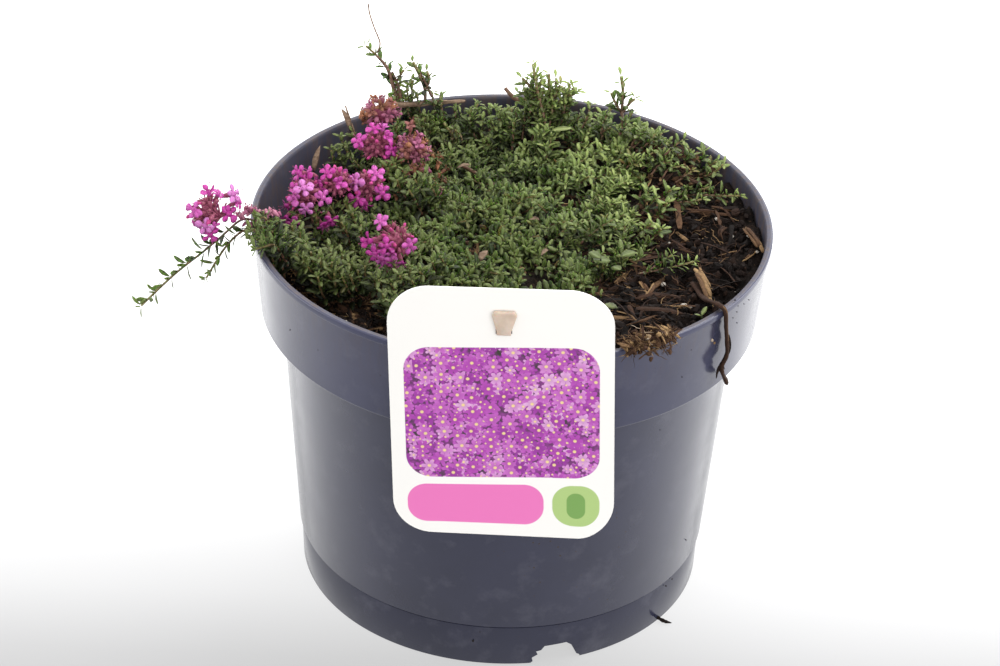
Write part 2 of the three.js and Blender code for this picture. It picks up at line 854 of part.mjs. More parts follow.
function peatClump() {
  const pieces = [];
  for (let k = 0; k < clumpLumps; k += 1) {
    const lump = new THREE.IcosahedronGeometry(between(3.2, 4.6, k, 91), 0);
    lump.scale(between(1, 1.5, k, 92), between(0.9, 1.2, k, 93), between(0.55, 0.8, k, 94));
    const at = clumpStart.clone().addScaledVector(clumpRun, k / (clumpLumps - 1));
    lump.rotateZ(chance(k, 95) * 3);
    lump.translate(at.x, at.y + between(-1, 1, k, 96), at.z + between(-0.4, 0.8, k, 97));
    pieces.push(solidFrom(lump));
  }
  for (let k = 0; k < clumpShreds; k += 1) {
    const shred = new THREE.ConeGeometry(between(0.8, 1.3, k, 98), between(8, 13, k, 99), 3);
    const at = clumpStart.clone().addScaledVector(clumpRun, (k + 0.5) / clumpShreds);
    shred.rotateX(between(0.9, 2.2, k, 100)).rotateZ(between(-1.4, 1.4, k, 101));
    pieces.push(solidFrom(shred.translate(at.x, at.y, at.z + 0.4)));
  }
  return fuse(pieces);
}

// A bare woody twig that lies along the back of the mat
const twigRadius = 1.3;

function dryTwig(radius) {
  const points = [[-46, 79, 147.7], [-37, 82, 147], [-27.4, 84, 147.1], [-19.7, 85.5, 147.1]];
  return stemAlong(points.map(vector), radius, 6, 5);
}

// Build

const part = new THREE.Group();

function add(name, shape, colour, roughness, metalness = 0) {
  const geometry = shape.isBufferGeometry ? shape : geometryOf(shape);
  const material = new THREE.MeshStandardMaterial({ color: colour, roughness, metalness });
  const mesh = new THREE.Mesh(geometry, material);
  mesh.name = name;
  part.add(mesh);
  return mesh;
}

const soil = soilSolid();
add("pot", potSolid(), colours.pot, 0.45);
add("soil", soil, colours.soil, 0.95);
const label = add("label", labelGeometry(), colours.card, 0.4);
label.rotation.y = THREE.MathUtils.degToRad(labelTilt);
label.position.copy(labelCentre);
add("label_peg", pegSolid(), colours.peg, 0.5);
const twigRoom = solidFrom(dryTwig(twigRadius + 2 * fitGap));
add("thyme_mat", clearOf(soil, matSolid(), [twigRoom]), colours.leaf, 0.7);
heads.forEach((head, k) => add(head.name, headSolid(head, k + 110), colours.petal, 0.6));
fadedHeads.forEach((head, k) => add(head.name, fadedSolid(head, k + 130), colours.faded, 0.8));
runners.forEach((runner) => add(runner.name, clearOf(soil, runnerSolid(runner)), colours.leaf, 0.7));
add("bark_strip", barkStrip(), colours.bark, 0.9);
add("peat_clump", clearOf(soil, peatClump()), colours.bark, 0.95);
add("dry_twig", dryTwig(twigRadius), colours.stem, 0.85);

export default part;
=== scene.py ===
# Creeping thyme in a nursery pot, with a plant label on a peg: how it looks.
# Sizes are millimetres here and become metres where a mesh is made.
import json
from math import atan2, cos, degrees, exp, hypot, log, pi, radians, sin, sqrt
from random import Random

import bmesh
import bpy
from mathutils import Matrix, Vector, noise

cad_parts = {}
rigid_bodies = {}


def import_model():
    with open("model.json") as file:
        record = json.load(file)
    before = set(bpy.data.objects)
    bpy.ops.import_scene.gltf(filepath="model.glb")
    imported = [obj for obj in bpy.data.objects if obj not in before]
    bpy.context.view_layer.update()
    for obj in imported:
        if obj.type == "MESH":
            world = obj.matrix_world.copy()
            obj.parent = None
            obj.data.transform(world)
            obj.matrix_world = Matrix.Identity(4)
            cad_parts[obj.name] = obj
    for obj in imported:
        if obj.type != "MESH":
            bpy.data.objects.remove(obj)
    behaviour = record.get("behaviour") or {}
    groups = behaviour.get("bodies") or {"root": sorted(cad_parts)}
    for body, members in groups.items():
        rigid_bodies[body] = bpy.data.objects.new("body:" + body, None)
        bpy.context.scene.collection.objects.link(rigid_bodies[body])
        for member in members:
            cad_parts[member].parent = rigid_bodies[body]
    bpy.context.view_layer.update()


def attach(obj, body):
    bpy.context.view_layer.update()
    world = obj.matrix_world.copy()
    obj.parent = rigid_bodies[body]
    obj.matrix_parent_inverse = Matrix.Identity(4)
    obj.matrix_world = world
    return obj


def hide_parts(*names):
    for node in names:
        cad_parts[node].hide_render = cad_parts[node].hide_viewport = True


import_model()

mm = 0.001


# Camera

cameraSet = {
    "lens": 121.67,
    "sensor": 36.0,
    "place": (-2.8, -1060.3, 770.1),
    "downTilt": 32.434,
    "roll": 2.219,
    "imageWidth": 1000,
    "imageHeight": 666,
    "clip": (0.05, 20),
}


def cameraAxes():
    tilt = radians(cameraSet["downTilt"])
    roll = radians(cameraSet["roll"])
    back = Vector((0, -cos(tilt), sin(tilt)))
    level = Vector((0, sin(tilt), cos(tilt)))
    side = Vector((1, 0, 0))
    right = side * cos(roll) + level * sin(roll)
    up = level * cos(roll) - side * sin(roll)
    return right, up, back


# A pixel's line of sight
def sightOf(x, y):
    right, up, back = cameraAxes()
    focal = cameraSet["lens"] / cameraSet["sensor"] * cameraSet["imageWidth"]
    across = (x - cameraSet["imageWidth"] / 2) / focal
    down = (y - cameraSet["imageHeight"] / 2) / focal
    return Vector(cameraSet["place"]), (right * across - up * down - back).normalized()


# The point on a pixel's line of sight that is nearest to a known point, moved towards the camera by lift
def nearPixel(x, y, near, lift=0.0):
    eye, way = sightOf(x, y)
    return eye + way * ((Vector(near) - eye).dot(way) - lift)


# Where a pixel's line of sight passes a plane across Y, or a level
def pixelAtDepth(x, y, depth):
    eye, way = sightOf(x, y)
    return eye + way * ((depth - eye.y) / way.y)


def pixelAtHeight(x, y, height):
    eye, way = sightOf(x, y)
    return eye + way * ((height - eye.z) / way.z)


def sceneObject(name, data, collection=None):
    thing = bpy.data.objects.new(name, data)
    (collection or bpy.context.scene.collection).objects.link(thing)
    return thing


def makeCamera():
    data = bpy.data.cameras.new("photoCamera")
    data.lens = cameraSet["lens"]
    data.sensor_width = cameraSet["sensor"]
    data.clip_start, data.clip_end = cameraSet["clip"]
    camera = sceneObject("photoCamera", data)
    turn = Matrix(cameraAxes()).transposed().to_4x4()
    camera.matrix_world = Matrix.Translation(Vector(cameraSet["place"]) * mm) @ turn
    bpy.context.scene.camera = camera


makeCamera()
print("camera placed")


# Nodes: one helper for shader trees and geometry trees

# Adds a node. feeds gives its inputs by name or number, as a socket to link or a plain value.
def put(tree, kind, feeds=None, **settings):
    node = tree.nodes.new(kind)
    for label, value in settings.items():
        setattr(node, label, value)
    for label, value in (feeds or {}).items():
        if isinstance(value, bpy.types.NodeSocket):
            tree.links.new(value, node.inputs[label])
        else:
            node.inputs[label].default_value = value
    return node


def feed(shader, label, value):
    value.id_data.links.new(value, shader.inputs[label])


# A screen colour, 0 to 255, as the linear colour that nodes work in
def tone(red, green, blue):
    def linear(v):
        v = v / 255
        return v / 12.92 if v <= 0.04045 else ((v + 0.055) / 1.055) ** 2.4
    return (linear(red), linear(green), linear(blue), 1.0)


def newFinish(name, **sockets):
    material = bpy.data.materials.new(name)
    material.use_nodes = True
    shader = material.node_tree.nodes["Principled BSDF"]
    for label, value in sockets.items():
        shader.inputs[label.replace("_", " ")].default_value = value
    return material, material.node_tree, shader


def objectPlace(tree, stretch=(1, 1, 1)):
    place = put(tree, "ShaderNodeTexCoord").outputs["Object"]
    if stretch == (1, 1, 1):
        return place
    return put(tree, "ShaderNodeMapping", {"Vector": place, "Scale": stretch}).outputs["Vector"]


def reading(tree, name):
    return put(tree, "ShaderNodeAttribute", attribute_name=name).outputs["Fac"]


# The helpers below find their tree by the sockets they are given
def noiseAt(place, scale, detail=3.0, rough=0.5, warp=0.0):
    feeds = {"Vector": place, "Scale": scale, "Detail": detail, "Roughness": rough, "Distortion": warp}
    return put(place.id_data, "ShaderNodeTexNoise", feeds).outputs[0]


def spanned(value, low, high, toLow=0.0, toHigh=1.0):
    feeds = {"Value": value, "From Min": low, "From Max": high, "To Min": toLow, "To Max": toHigh}
    return put(value.id_data, "ShaderNodeMapRange", feeds, clamp=True).outputs[0]


def sums(operation, *values):
    tree = next(value.id_data for value in values if isinstance(value, bpy.types.NodeSocket))
    return put(tree, "ShaderNodeMath", dict(enumerate(values)), operation=operation).outputs[0]


def times(first, second):
    return sums("MULTIPLY", first, second)


def mixed(factor, first, second, way="MIX"):
    tree = (factor if isinstance(factor, bpy.types.NodeSocket) else first).id_data
    feeds = {0: factor, 6: first, 7: second}
    return put(tree, "ShaderNodeMix", feeds, data_type="RGBA", blend_type=way).outputs[2]


# A ramp of plain values, each keyed by its place
def levels(factor, stops):
    node = put(factor.id_data, "ShaderNodeValToRGB", {"Fac": factor})
    marks = node.color_ramp.elements
    while len(marks) < len(stops):
        marks.new(0.5)
    for mark, (place, colour) in zip(marks, stops.items()):
        mark.position = place
        mark.color = (*colour[:3], 1)
    return node.outputs["Color"]


# A ramp of screen colours
def ramped(factor, stops):
    return levels(factor, {place: tone(*colour) for place, colour in stops.items()})


def bumped(shader, height, strength, depth):
    feeds = {"Height": height, "Strength": strength, "Distance": depth * mm}
    feed(shader, "Normal", put(height.id_data, "ShaderNodeBump", feeds).outputs[0])


# A finish whose colour and bumps follow one noise
def grainFinish(name, grain, colours, bumps, stretch=(1, 1, 1), **sockets):
    finish, tree, shader = newFinish(name, **sockets)
    fibre = noiseAt(objectPlace(tree, stretch), *grain)
    feed(shader, "Base Color", ramped(fibre, colours))
    bumped(shader, fibre, *bumps)
    return finish


# Meshes: a shape is a list of points in millimetres, its faces, and marks that a finish reads per point

def emptyShape():
    return {"points": [], "faces": [], "marks": {}}


def addTo(shape, points, faces, place=None, **marks):
    first = len(shape["points"])
    shape["points"] += [place @ Vector(p) if place else Vector(p) for p in points]
    shape["faces"] += [[first + k for k in face] for face in faces]
    for name, value in marks.items():
        values = shape["marks"].setdefault(name, [0.0] * first)
        values += list(value) if isinstance(value, (list, tuple)) else [value] * len(points)
    for values in shape["marks"].values():
        values += [0.0] * (len(shape["points"]) - len(values))


def makeObject(name, shape, finish=None, smooth=True, collection=None):
    mesh = bpy.data.meshes.new(name)
    mesh.from_pydata([p * mm for p in shape["points"]], [], shape["faces"])
    for label, values in shape["marks"].items():
        mesh.attributes.new(label, "FLOAT", "POINT").data.foreach_set("value", values)
    if finish:
        mesh.materials.append(finish)
    mesh.polygons.foreach_set("use_smooth", [smooth] * len(mesh.polygons))
    mesh.update()
    return sceneObject(name, mesh, collection)


# Cuts a shape out of a piece and keeps its hard edges sharp
def cutOut(piece, shape, sharpAngle=32):
    cutter = makeObject("cutter", shape)
    cut = piece.modifiers.new("cut", "BOOLEAN")
    cut.operation = "DIFFERENCE"
    cut.solver = "EXACT"
    cut.object = cutter
    graph = bpy.context.evaluated_depsgraph_get()
    mesh = bpy.data.meshes.new_from_object(piece.evaluated_get(graph))
    piece.modifiers.remove(cut)
    piece.data = mesh
    bpy.data.objects.remove(cutter)
    mesh.shade_smooth()
    mesh.set_sharp_from_angle(angle=radians(sharpAngle))
    return mesh


def addPiece(name, shape, finish, slotName, *nodes):
    settle(makeObject(name, shape, finish), slotName, *nodes)


def settle(piece, slotName, *nodes):
    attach(piece, "root")
    if nodes:
        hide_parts(*nodes)
    print("piece", piece.name, len(piece.data.polygons), "faces")


# A closed blade along +X with its face up: leaf, petal, sepal or seed leaf
def addBlade(shape, place, length, width, stations=3, broad=0.55, rise=0.0, droop=0.15, fold=0.12,
             thick=0.12, **marks):
    def centre(t):
        return length * (rise * t - droop * t * t)
    points = [(0, 0, 0)]
    for k in range(1, stations + 1):
        t = k / (stations + 0.55)
        bulge = sin(pi * t ** (log(0.5) / log(broad))) ** 0.7
        half = width / 2 * bulge
        x = length * t
        z = centre(t)
        edge = z + fold * half
        points += [(x, -half, edge), (x, half, edge), (x, 0, z + thick * 0.2)]
        points.append((x, 0, z - thick * length * 0.5))
    points.append((length, 0, centre(1)))
    tip = len(points) - 1
    right, left, top, under = 1, 2, 3, 4
    faces = [[0, right, top], [0, top, left], [0, under, right], [0, left, under]]
    for k in range(stations - 1):
        a = 4 * k
        b = a + 4
        faces += [
            [right + a, right + b, top + b, top + a],
            [top + a, top + b, left + b, left + a],
            [right + a, under + a, under + b, right + b],
            [under + a, left + a, left + b, under + b],
        ]
    a = 4 * (stations - 1)
    faces += [[right + a, tip, top + a], [top + a, tip, left + a], [under + a, tip, right + a]]
    faces += [[left + a, tip, under + a]]
    rib = [0.0] + [1.0, 1.0, 0.0, 0.3] * stations + [0.6]
    addTo(shape, points, faces, place, rib=rib, **marks)


# A closed tube along a path, thinner or thicker by its list of radii
def addTube(shape, path, radii, sides=5, flat=1.0, **marks):
    path = [Vector(p) for p in path]
    if not isinstance(radii, (list, tuple)):
        radii = [radii] * len(path)
    points = []
    faces = []
    across = None
    for k, spot in enumerate(path):
        ahead = (path[min(k + 1, len(path) - 1)] - path[max(k - 1, 0)]).normalized()
        if across is None:
            across = ahead.cross(Vector((0.31, 0.22, 0.93))).normalized()
        across = (across - ahead * across.dot(ahead)).normalized()
        other = ahead.cross(across)
        for j in range(sides):
            a = 2 * pi * j / sides
            points.append(spot + (across * cos(a) + other * sin(a) * flat) * radii[k])
    for k in range(len(path) - 1):
        for j in range(sides):
            a = k * sides
            n = (j + 1) % sides
            faces.append([a + j, a + n, a + sides + n, a + sides + j])
    last = (len(path) - 1) * sides
    faces.append(list(range(sides - 1, -1, -1)))
    faces.append([last + j for j in range(sides)])
    addTo(shape, points, faces, **marks)


def smoothPath(points, steps):
    points = [Vector(p) for p in points]
    ends = [points[0] * 2 - points[1], *points, points[-1] * 2 - points[-2]]
    path = []
    for k in range(len(points) - 1):
        a, b, c, d = ends[k:k + 4]
        for j in range(steps):
            t = j / steps
            path.append(0.5 * (2 * b + (c - a) * t + (2 * a - 5 * b + 4 * c - d) * t * t
                               + (3 * b - a - 3 * c + d) * t ** 3))
    return path + [points[-1]]


# A lump with an uneven surface
def addLump(shape, centre, size, seed, sides=6, rings=4, uneven=0.3, **marks):
    points = []
    faces = []
    for j in range(1, rings):
        tilt = pi * j / rings
        for k in range(sides):
            a = 2 * pi * (k + 0.5 * (j % 2)) / sides
            way = Vector((*onCircle(sin(tilt), a), cos(tilt)))
            grown = 1 + uneven * noise.noise(way * 1.3 + Vector((seed * 7.7, seed * 3.1, 0)))
            points.append(Vector(centre) + way * Vector(size) * grown)
    for j in range(rings - 2):
        for k in range(sides):
            a = j * sides
            n = (k + 1) % sides
            faces.append([a + k, a + sides + k, a + sides + n, a + n])
    top = len(points)
    points += [Vector(centre) + Vector((0, 0, size[2])), Vector(centre) - Vector((0, 0, size[2]))]
    low = (rings - 2) * sides
    for k in range(sides):
        n = (k + 1) % sides
        faces += [[top, k, n], [top + 1, low + n, low + k]]
    addTo(shape, points, faces, **marks)


# A turned body from a profile of (radius, height) that starts and ends on the axis
def addLathe(shape, profile, sides, **marks):
    points = [(0, 0, profile[0][1])]
    faces = []
    for radius, height in profile[1:-1]:
        points += [(*onCircle(radius, 2 * pi * k / sides), height) for k in range(sides)]
    points.append((0, 0, profile[-1][1]))
    rows = len(profile) - 2
    for k in range(sides):
        n = (k + 1) % sides
        faces.append([0, 1 + n, 1 + k])
        for j in range(rows - 1):
            a = 1 + j * sides
            faces.append([a + k, a + n, a + sides + n, a + sides + k])
        a = 1 + (rows - 1) * sides
        faces.append([len(points) - 1, a + k, a + n])
    addTo(shape, points, faces, **marks)


# Faces of a body made of rings of points, with one point at its top middle and one at its bottom
def ringFaces(count, sides):
    faces = []
    rows = (count - 2) // sides
    for k in range(sides):
        n = (k + 1) % sides
        faces.append([0, 1 + k, 1 + n])
        for a in range(1, 1 + (rows - 1) * sides, sides):
            faces.append([a + k, a + sides + k, a + sides + n, a + n])
        a = 1 + (rows - 1) * sides
        faces.append([count - 1, a + n, a + k])
    return faces


def swing(angle, axis):
    return Matrix.Rotation(angle, 4, axis)


def onCircle(radius, angle):
    return cos(angle) * radius, sin(angle) * radius


# Cuts the corners of a profile so that light catches them
def softened(profile, radius):
    points = [Vector(p) for p in profile]
    result = [points[0]]
    for before, corner, after in zip(points, points[1:], points[2:]):
        toBefore = before - corner
        toAfter = after - corner
        cut = min(radius, toBefore.length * 0.4, toAfter.length * 0.4)
        first = corner + toBefore.normalized() * cut
        last = corner + toAfter.normalized() * cut
        result += [first, (first + last) / 4 + corner / 2, last]
    return [tuple(p) for p in result + [points[-1]]]


# Geometry trees

def newTree(name, sockets):
    tree = bpy.data.node_groups.new(name, "GeometryNodeTree")
    tree.is_modifier = True
    tree.interface.new_socket("Geometry", in_out="INPUT", socket_type="NodeSocketGeometry")
    tree.interface.new_socket("Geometry", in_out="OUTPUT", socket_type="NodeSocketGeometry")
    for label, kind in sockets.items():
        tree.interface.new_socket(label, in_out="INPUT", socket_type="NodeSocket" + kind)
    return tree, put(tree, "NodeGroupInput").outputs, put(tree, "NodeGroupOutput").inputs


def named(tree, label, kind="FLOAT"):
    node = put(tree, "GeometryNodeInputNamedAttribute", {"Name": label}, data_type=kind)
    return node.outputs["Attribute"]


def stored(geometry, label, value, domain):
    feeds = {"Geometry": geometry, "Name": label, "Value": value}
    node = put(geometry.id_data, "GeometryNodeStoreNamedAttribute", feeds, data_type="FLOAT", domain=domain)
    return node.outputs["Geometry"]


def dice(low, high, seed):
    feeds = {2: low, 3: high, "Seed": seed}
    return put(seed.id_data, "FunctionNodeRandomValue", feeds, data_type="FLOAT").outputs[1]


# A size that varies by chance around a given one
def chanceSize(given, label, shift=0.0):
    low = sums("SUBTRACT", 1.0, given["Size Spread"])
    high = sums("ADD", 1.0, given["Size Spread"])
    seed = sums("ADD", given["Seed"], shift) if shift else given["Seed"]
    return times(dice(low, high, seed), given[label])


# The shapes of a collection, to pick from
def kinds(collection):
    feeds = {"Collection": collection, "Separate Children": True, "Reset Children": True}
    return put(collection.id_data, "GeometryNodeCollectionInfo", feeds).outputs[0]


# The last nodes of a tree: real points and faces, and their finish
def finished(geometry, given, result):
    tree = geometry.id_data
    solid = put(tree, "GeometryNodeRealizeInstances", {"Geometry": geometry}).outputs[0]
    done = put(tree, "GeometryNodeSetMaterial", {"Geometry": solid, "Material": given["Finish"]})
    tree.links.new(done.outputs[0], result["Geometry"])
    return tree


# Stems with opposite leaves: each pair stands at a right angle to the last and turns to the light
def leafyStemTree():
    tree, given, result = newTree("leafyStems", {
        "Leaf Shapes": "Collection", "Leaf Spacing": "Float", "Leaf Size": "Float", "Size Spread": "Float",
        "Tip Shrink": "Float", "Bare Share": "Float", "Light Pull": "Float", "Stem Radius": "Float",
        "Seed": "Int", "Finish": "Material",
    })
    seed = given["Seed"]
    stems = stored(given["Geometry"], "shootTone", dice(0.0, 1.0, seed), "CURVE")
    share = put(tree, "GeometryNodeSplineParameter").outputs["Factor"]
    stems = stored(stems, "along", share, "POINT")
    spots = put(tree, "GeometryNodeCurveToPoints", {"Curve": stems, "Length": given["Leaf Spacing"]},
                mode="LENGTH").outputs
    along = named(tree, "along")
    leafy = put(tree, "FunctionNodeCompare", {0: along, 1: given["Bare Share"]}, data_type="FLOAT",
                operation="GREATER_THAN").outputs[0]
    position = put(tree, "GeometryNodeInputPosition").outputs[0]
    spotY = put(tree, "ShaderNodeSeparateXYZ", {0: position}).outputs["Y"]
    forward = times(given["Light Pull"], spanned(spotY, -0.045, 0.075, -0.1, -1.0))
    up = put(tree, "ShaderNodeCombineXYZ", {"Y": forward, "Z": given["Light Pull"]}).outputs[0]
    way = put(tree, "ShaderNodeVectorMath", {0: spots["Tangent"], 1: up}, operation="ADD").outputs[0]
    facing = put(tree, "FunctionNodeAlignRotationToVector", {"Vector": way}, axis="Z").outputs[0]
    order = put(tree, "GeometryNodeInputIndex").outputs[0]
    quarter = times(sums("MODULO", order, 2.0), pi / 2)
    spin = sums("ADD", quarter, dice(-0.45, 0.45, sums("ADD", seed, 1.0)))
    turn = put(tree, "ShaderNodeCombineXYZ", {"Z": spin}).outputs[0]
    turn = put(tree, "FunctionNodeEulerToRotation", {0: turn}).outputs[0]
    facing = put(tree, "FunctionNodeRotateRotation", {"Rotation": facing, "Rotate By": turn},
                 rotation_space="LOCAL").outputs[0]
    shrink = times(sums("POWER", along, 3.0), given["Tip Shrink"])
    size = times(chanceSize(given, "Leaf Size", 2.0), sums("SUBTRACT", 1.0, shrink))
    leaves = put(tree, "GeometryNodeInstanceOnPoints", {
        "Points": spots["Points"], "Selection": leafy, "Instance": kinds(given["Leaf Shapes"]),
        "Pick Instance": True,
        "Rotation": facing, "Scale": size,
    }).outputs[0]
    leaves = stored(leaves, "leafTone", dice(0.0, 1.0, sums("ADD", seed, 3.0)), "INSTANCE")
    ring = put(tree, "GeometryNodeCurvePrimitiveCircle", {"Resolution": 4, "Radius": given["Stem Radius"]},
               mode="RADIUS").outputs["Curve"]
    wood = put(tree, "GeometryNodeCurveToMesh", {"Curve": stems, "Profile Curve": ring, "Fill Caps": True})
    wood = stored(wood.outputs[0], "stemShare", 1.0, "POINT")
    whole = put(tree, "GeometryNodeJoinGeometry")
    tree.links.new(leaves, whole.inputs[0])
    tree.links.new(wood, whole.inputs[0])
    return finished(whole.outputs[0], given, result)


# Sets one of a few shapes on every point. The points carry turn, stretch, kind and tone.
def strewnTree():
    tree, given, result = newTree("strewnShapes", {
        "Shapes": "Collection", "Size": "Float", "Size Spread": "Float", "Seed": "Int", "Finish": "Material",
    })
    size = chanceSize(given, "Size")
    stretch = put(tree, "ShaderNodeVectorMath", {0: named(tree, "stretch", "FLOAT_VECTOR"), "Scale": size},
                  operation="SCALE").outputs[0]
    turn = put(tree, "FunctionNodeEulerToRotation", {0: named(tree, "turn", "FLOAT_VECTOR")}).outputs[0]
    pieces = put(tree, "GeometryNodeInstanceOnPoints", {
        "Points": given["Geometry"], "Instance": kinds(given["Shapes"]), "Pick Instance": True,
        "Instance Index": named(tree, "kind", "INT"), "Rotation": turn, "Scale": stretch,
    }).outputs[0]
    return finished(pieces, given, result)


# Runs a geometry tree on an object and keeps the result as a plain mesh
def grown(name, source, tree, settings):
    worker = source.modifiers.new("growth", "NODES")
    worker.node_group = tree
    for item in tree.interface.items_tree:
        if item.item_type == "SOCKET" and item.in_out == "INPUT" and item.name in settings:
            worker[item.identifier] = settings[item.name]
    graph = bpy.context.evaluated_depsgraph_get()
    graph.update()
    mesh = bpy.data.meshes.new_from_object(source.evaluated_get(graph), preserve_all_data_layers=True,
                                           depsgraph=graph)
    source.modifiers.remove(worker)
    bpy.data.objects.remove(source)
    return sceneObject(name, mesh)


def shapeCollection(name):
    collection = bpy.data.collections.new(name)
    bpy.context.scene.collection.children.link(collection)
    return collection


def dropCollection(collection):
    for piece in list(collection.objects):
        bpy.data.objects.remove(piece)
    bpy.data.collections.remove(collection)


# One spot for the strewn tree. Keywords keep the order in which its numbers are drawn.
def spotAt(place, kind, turn, stretch, shade):
    if not isinstance(stretch, tuple):
        stretch = (stretch,) * 3
    return {"place": place, "kind": kind, "turn": turn, "stretch": stretch, "tone": shade}


def anyTurn(rng):
    return [rng.uniform(0, 6.3) for _ in range(3)]


# A turn that lies nearly flat
def flatTurn(rng, roll, pitch):
    return rng.uniform(-roll, roll), rng.uniform(-pitch, pitch), rng.uniform(0, 6.3)


def pointCloud(spots):
    mesh = bpy.data.meshes.new("spots")
    mesh.from_pydata([Vector(spot["place"]) * mm for spot in spots], [], [])
    for label in ("turn", "stretch"):
        flat = [v for spot in spots for v in spot[label]]
        mesh.attributes.new(label, "FLOAT_VECTOR", "POINT").data.foreach_set("vector", flat)
    for label, kind in (("kind", "INT"), ("tone", "FLOAT")):
        values = [spot[label] for spot in spots]
        mesh.attributes.new(label, kind, "POINT").data.foreach_set("value", values)
    return sceneObject("spots", mesh)


# A piece made of small shapes, one on each spot
def strewn(name, spots, shapes, finish, seed, spread=0.1):
    return grown(name, pointCloud(spots), trees["strewn"], {
        "Shapes": shapes, "Size": 1.0, "Size Spread": spread, "Seed": seed, "Finish": finish,
    })


def curveStrands(strands):
    data = bpy.data.curves.new("strands", "CURVE")
    data.dimensions = "3D"
    for path, radii in strands:
        spline = data.splines.new("POLY")
        spline.points.add(len(path) - 1)
        for dot, spot, radius in zip(spline.points, path, radii):
            dot.co = (spot[0] * mm, spot[1] * mm, spot[2] * mm, 1)
            dot.radius = radius
    return sceneObject("strands", data)


def turnTo(way, spin):
    turn = Vector(way).to_track_quat("Z", "Y").to_matrix() @ Matrix.Rotation(spin, 3, "Z")
    return tuple(turn.to_euler())


# Studio

studioSet = {
    "worldStrength": 0.86,
    "aim": (0, 0, 0.1),
    # place in metres, width, height and power
    "panels": {
        "topPanel": ((0.3, 0.45, 1.3), 1.0, 1.0, 13.0),
        "leftPanel": ((-1.2, 0.25, 0.5), 1.0, 0.9, 6.5),
        "rightPanel": ((1.2, 0.25, 0.5), 1.0, 0.9, 9.0),
        "backPanel": ((0, 1.5, 0.7), 1.8, 0.9, 8.0),
        "frontPanel": ((0.35, -1.5, 0.75), 1.6, 1.0, 15.0),
    },
    "floorSize": 6.0,
    "floorGlow": 2.2,
    "floorGap": 0.0002,
    # how the floor's painted glow grows from front to back, standing in for the fall of the studio's light
    "floorFall": {0.0: 0.03, 0.17: 0.07, 0.225: 0.16, 0.281: 0.225, 0.33: 0.315, 0.41: 0.42, 1.0: 1.0},
}


def makePanel(name, place, width, height, power):
    data = bpy.data.lights.new(name, "AREA")
    data.shape = "RECTANGLE"
    data.size = width
    data.size_y = height
    data.energy = power
    lamp = sceneObject(name, data)
    lamp.location = place
    way = Vector(studioSet["aim"]) - Vector(place)
    lamp.rotation_euler = way.to_track_quat("-Z", "Y").to_euler()


def makeStudio():
    scene = bpy.context.scene
    scene.view_settings.view_transform = "Standard"
    world = bpy.data.worlds.new("studio")
    world.use_nodes = True
    sky = world.node_tree.nodes["Background"].inputs
    sky["Color"].default_value = (1, 1, 1, 1)
    sky["Strength"].default_value = studioSet["worldStrength"]
    scene.world = world
    for name, panel in studioSet["panels"].items():
        makePanel(name, *panel)
    # a floor that glows with painted light, dimmer in front and a little brighter to the right
    finish, tree, shader = newFinish("lightTable", Roughness=0.9, Specular_IOR_Level=0.1,
                                     Base_Color=(0.15, 0.15, 0.152, 1), Emission_Color=(1, 1, 1, 1))
    across = put(tree, "ShaderNodeSeparateXYZ", {0: objectPlace(tree)}).outputs
    fall = {place: (v, v, v) for place, v in studioSet["floorFall"].items()}
    glow = levels(spanned(across["Y"], -0.3, 0.5), fall)
    rightGlow = spanned(across["X"], -0.1, 0.2, 0.0, 0.06)
    glow = sums("MULTIPLY_ADD", glow, studioSet["floorGlow"], rightGlow)
    feed(shader, "Emission Strength", glow)
    half = studioSet["floorSize"] / 2 / mm
    shape = emptyShape()
    corners = [(-half, -half, 0), (half, -half, 0), (half, half, 0), (-half, half, 0)]
    addTo(shape, corners, [[0, 1, 2, 3]])
    floor = makeObject("lightTable", shape, finish)
    floor.location.z = -studioSet["floorGap"]


makeStudio()
print("studio lit")


# Pot

potForm = {
    "height": 146.0,
    "rimRadius": 95.0,
    "beadHeight": 2.7,
    "beadStep": 0.7,
    "rimWidth": 2.2,
    "wall": 1.6,
    "shoulder": 111.0,
    "collarFoot": 91.4,
    "bodyTop": 83.8,
    "grooveHeight": 17.5,
    "grooveRadius": 76.9,
    "footStep": 0.8,
    "grooveDepth": 0.7,
    "footRadius": 75.4,
    "sides": 176,
    "corner": 0.35,
    "notches": 3,
    "drains": 6,
    "notchTurn": -73.3,
    "notchHeight": 8.0,
    "notchFoot": 22.0,
    "notchTop": 12.0,
    "drainCircle": 48.0,
    "drainRadius": 4.5,
    "padRadius": 24.0,
    "floorRise": 5.0,
    "floorThick": 1.8,
    "innerFoot": 89.8,
    "innerTop": 92.4,
}


def potProfile():
    f = potForm
    top = f["height"]
    rim = f["rimRadius"]
    inner = rim - f["rimWidth"]
    bead = top - f["beadHeight"]
    wall = f["wall"]
    pad = f["padRadius"]
    rise = f["floorRise"]
    floor = rise + f["floorThick"]
    foot = f["footRadius"]
    groove = f["grooveHeight"]
    ledge = f["grooveRadius"] - f["footStep"]
    dip = ledge - f["grooveDepth"]
    shoulder = f["shoulder"]
    collar = f["collarFoot"]
    return softened([
        (0, 0), (pad, 0), (pad + 3, rise), (foot - 2, rise), (foot - 2, 0), (foot, 0),
        (ledge, groove - 0.45), (dip, groove - 0.25), (dip, groove + 0.15),
        (f["grooveRadius"], groove + 0.4), (f["bodyTop"], shoulder), (collar - 0.4, shoulder),
        (collar, shoulder + 0.6),
        (rim - f["beadStep"], bead), (rim, bead + 0.4), (rim, top - 0.3), (rim - 0.4, top), (inner, top),
        (inner - 0.4, top - 1), (collar - wall, shoulder + wall), (f["bodyTop"] - wall, shoulder + wall),
        (f["grooveRadius"] - wall, groove), (foot - wall - 0.6, floor), (pad + 1.2, floor),
        (pad - 1.8, f["floorThick"]), (0, f["floorThick"]),
    ], f["corner"])


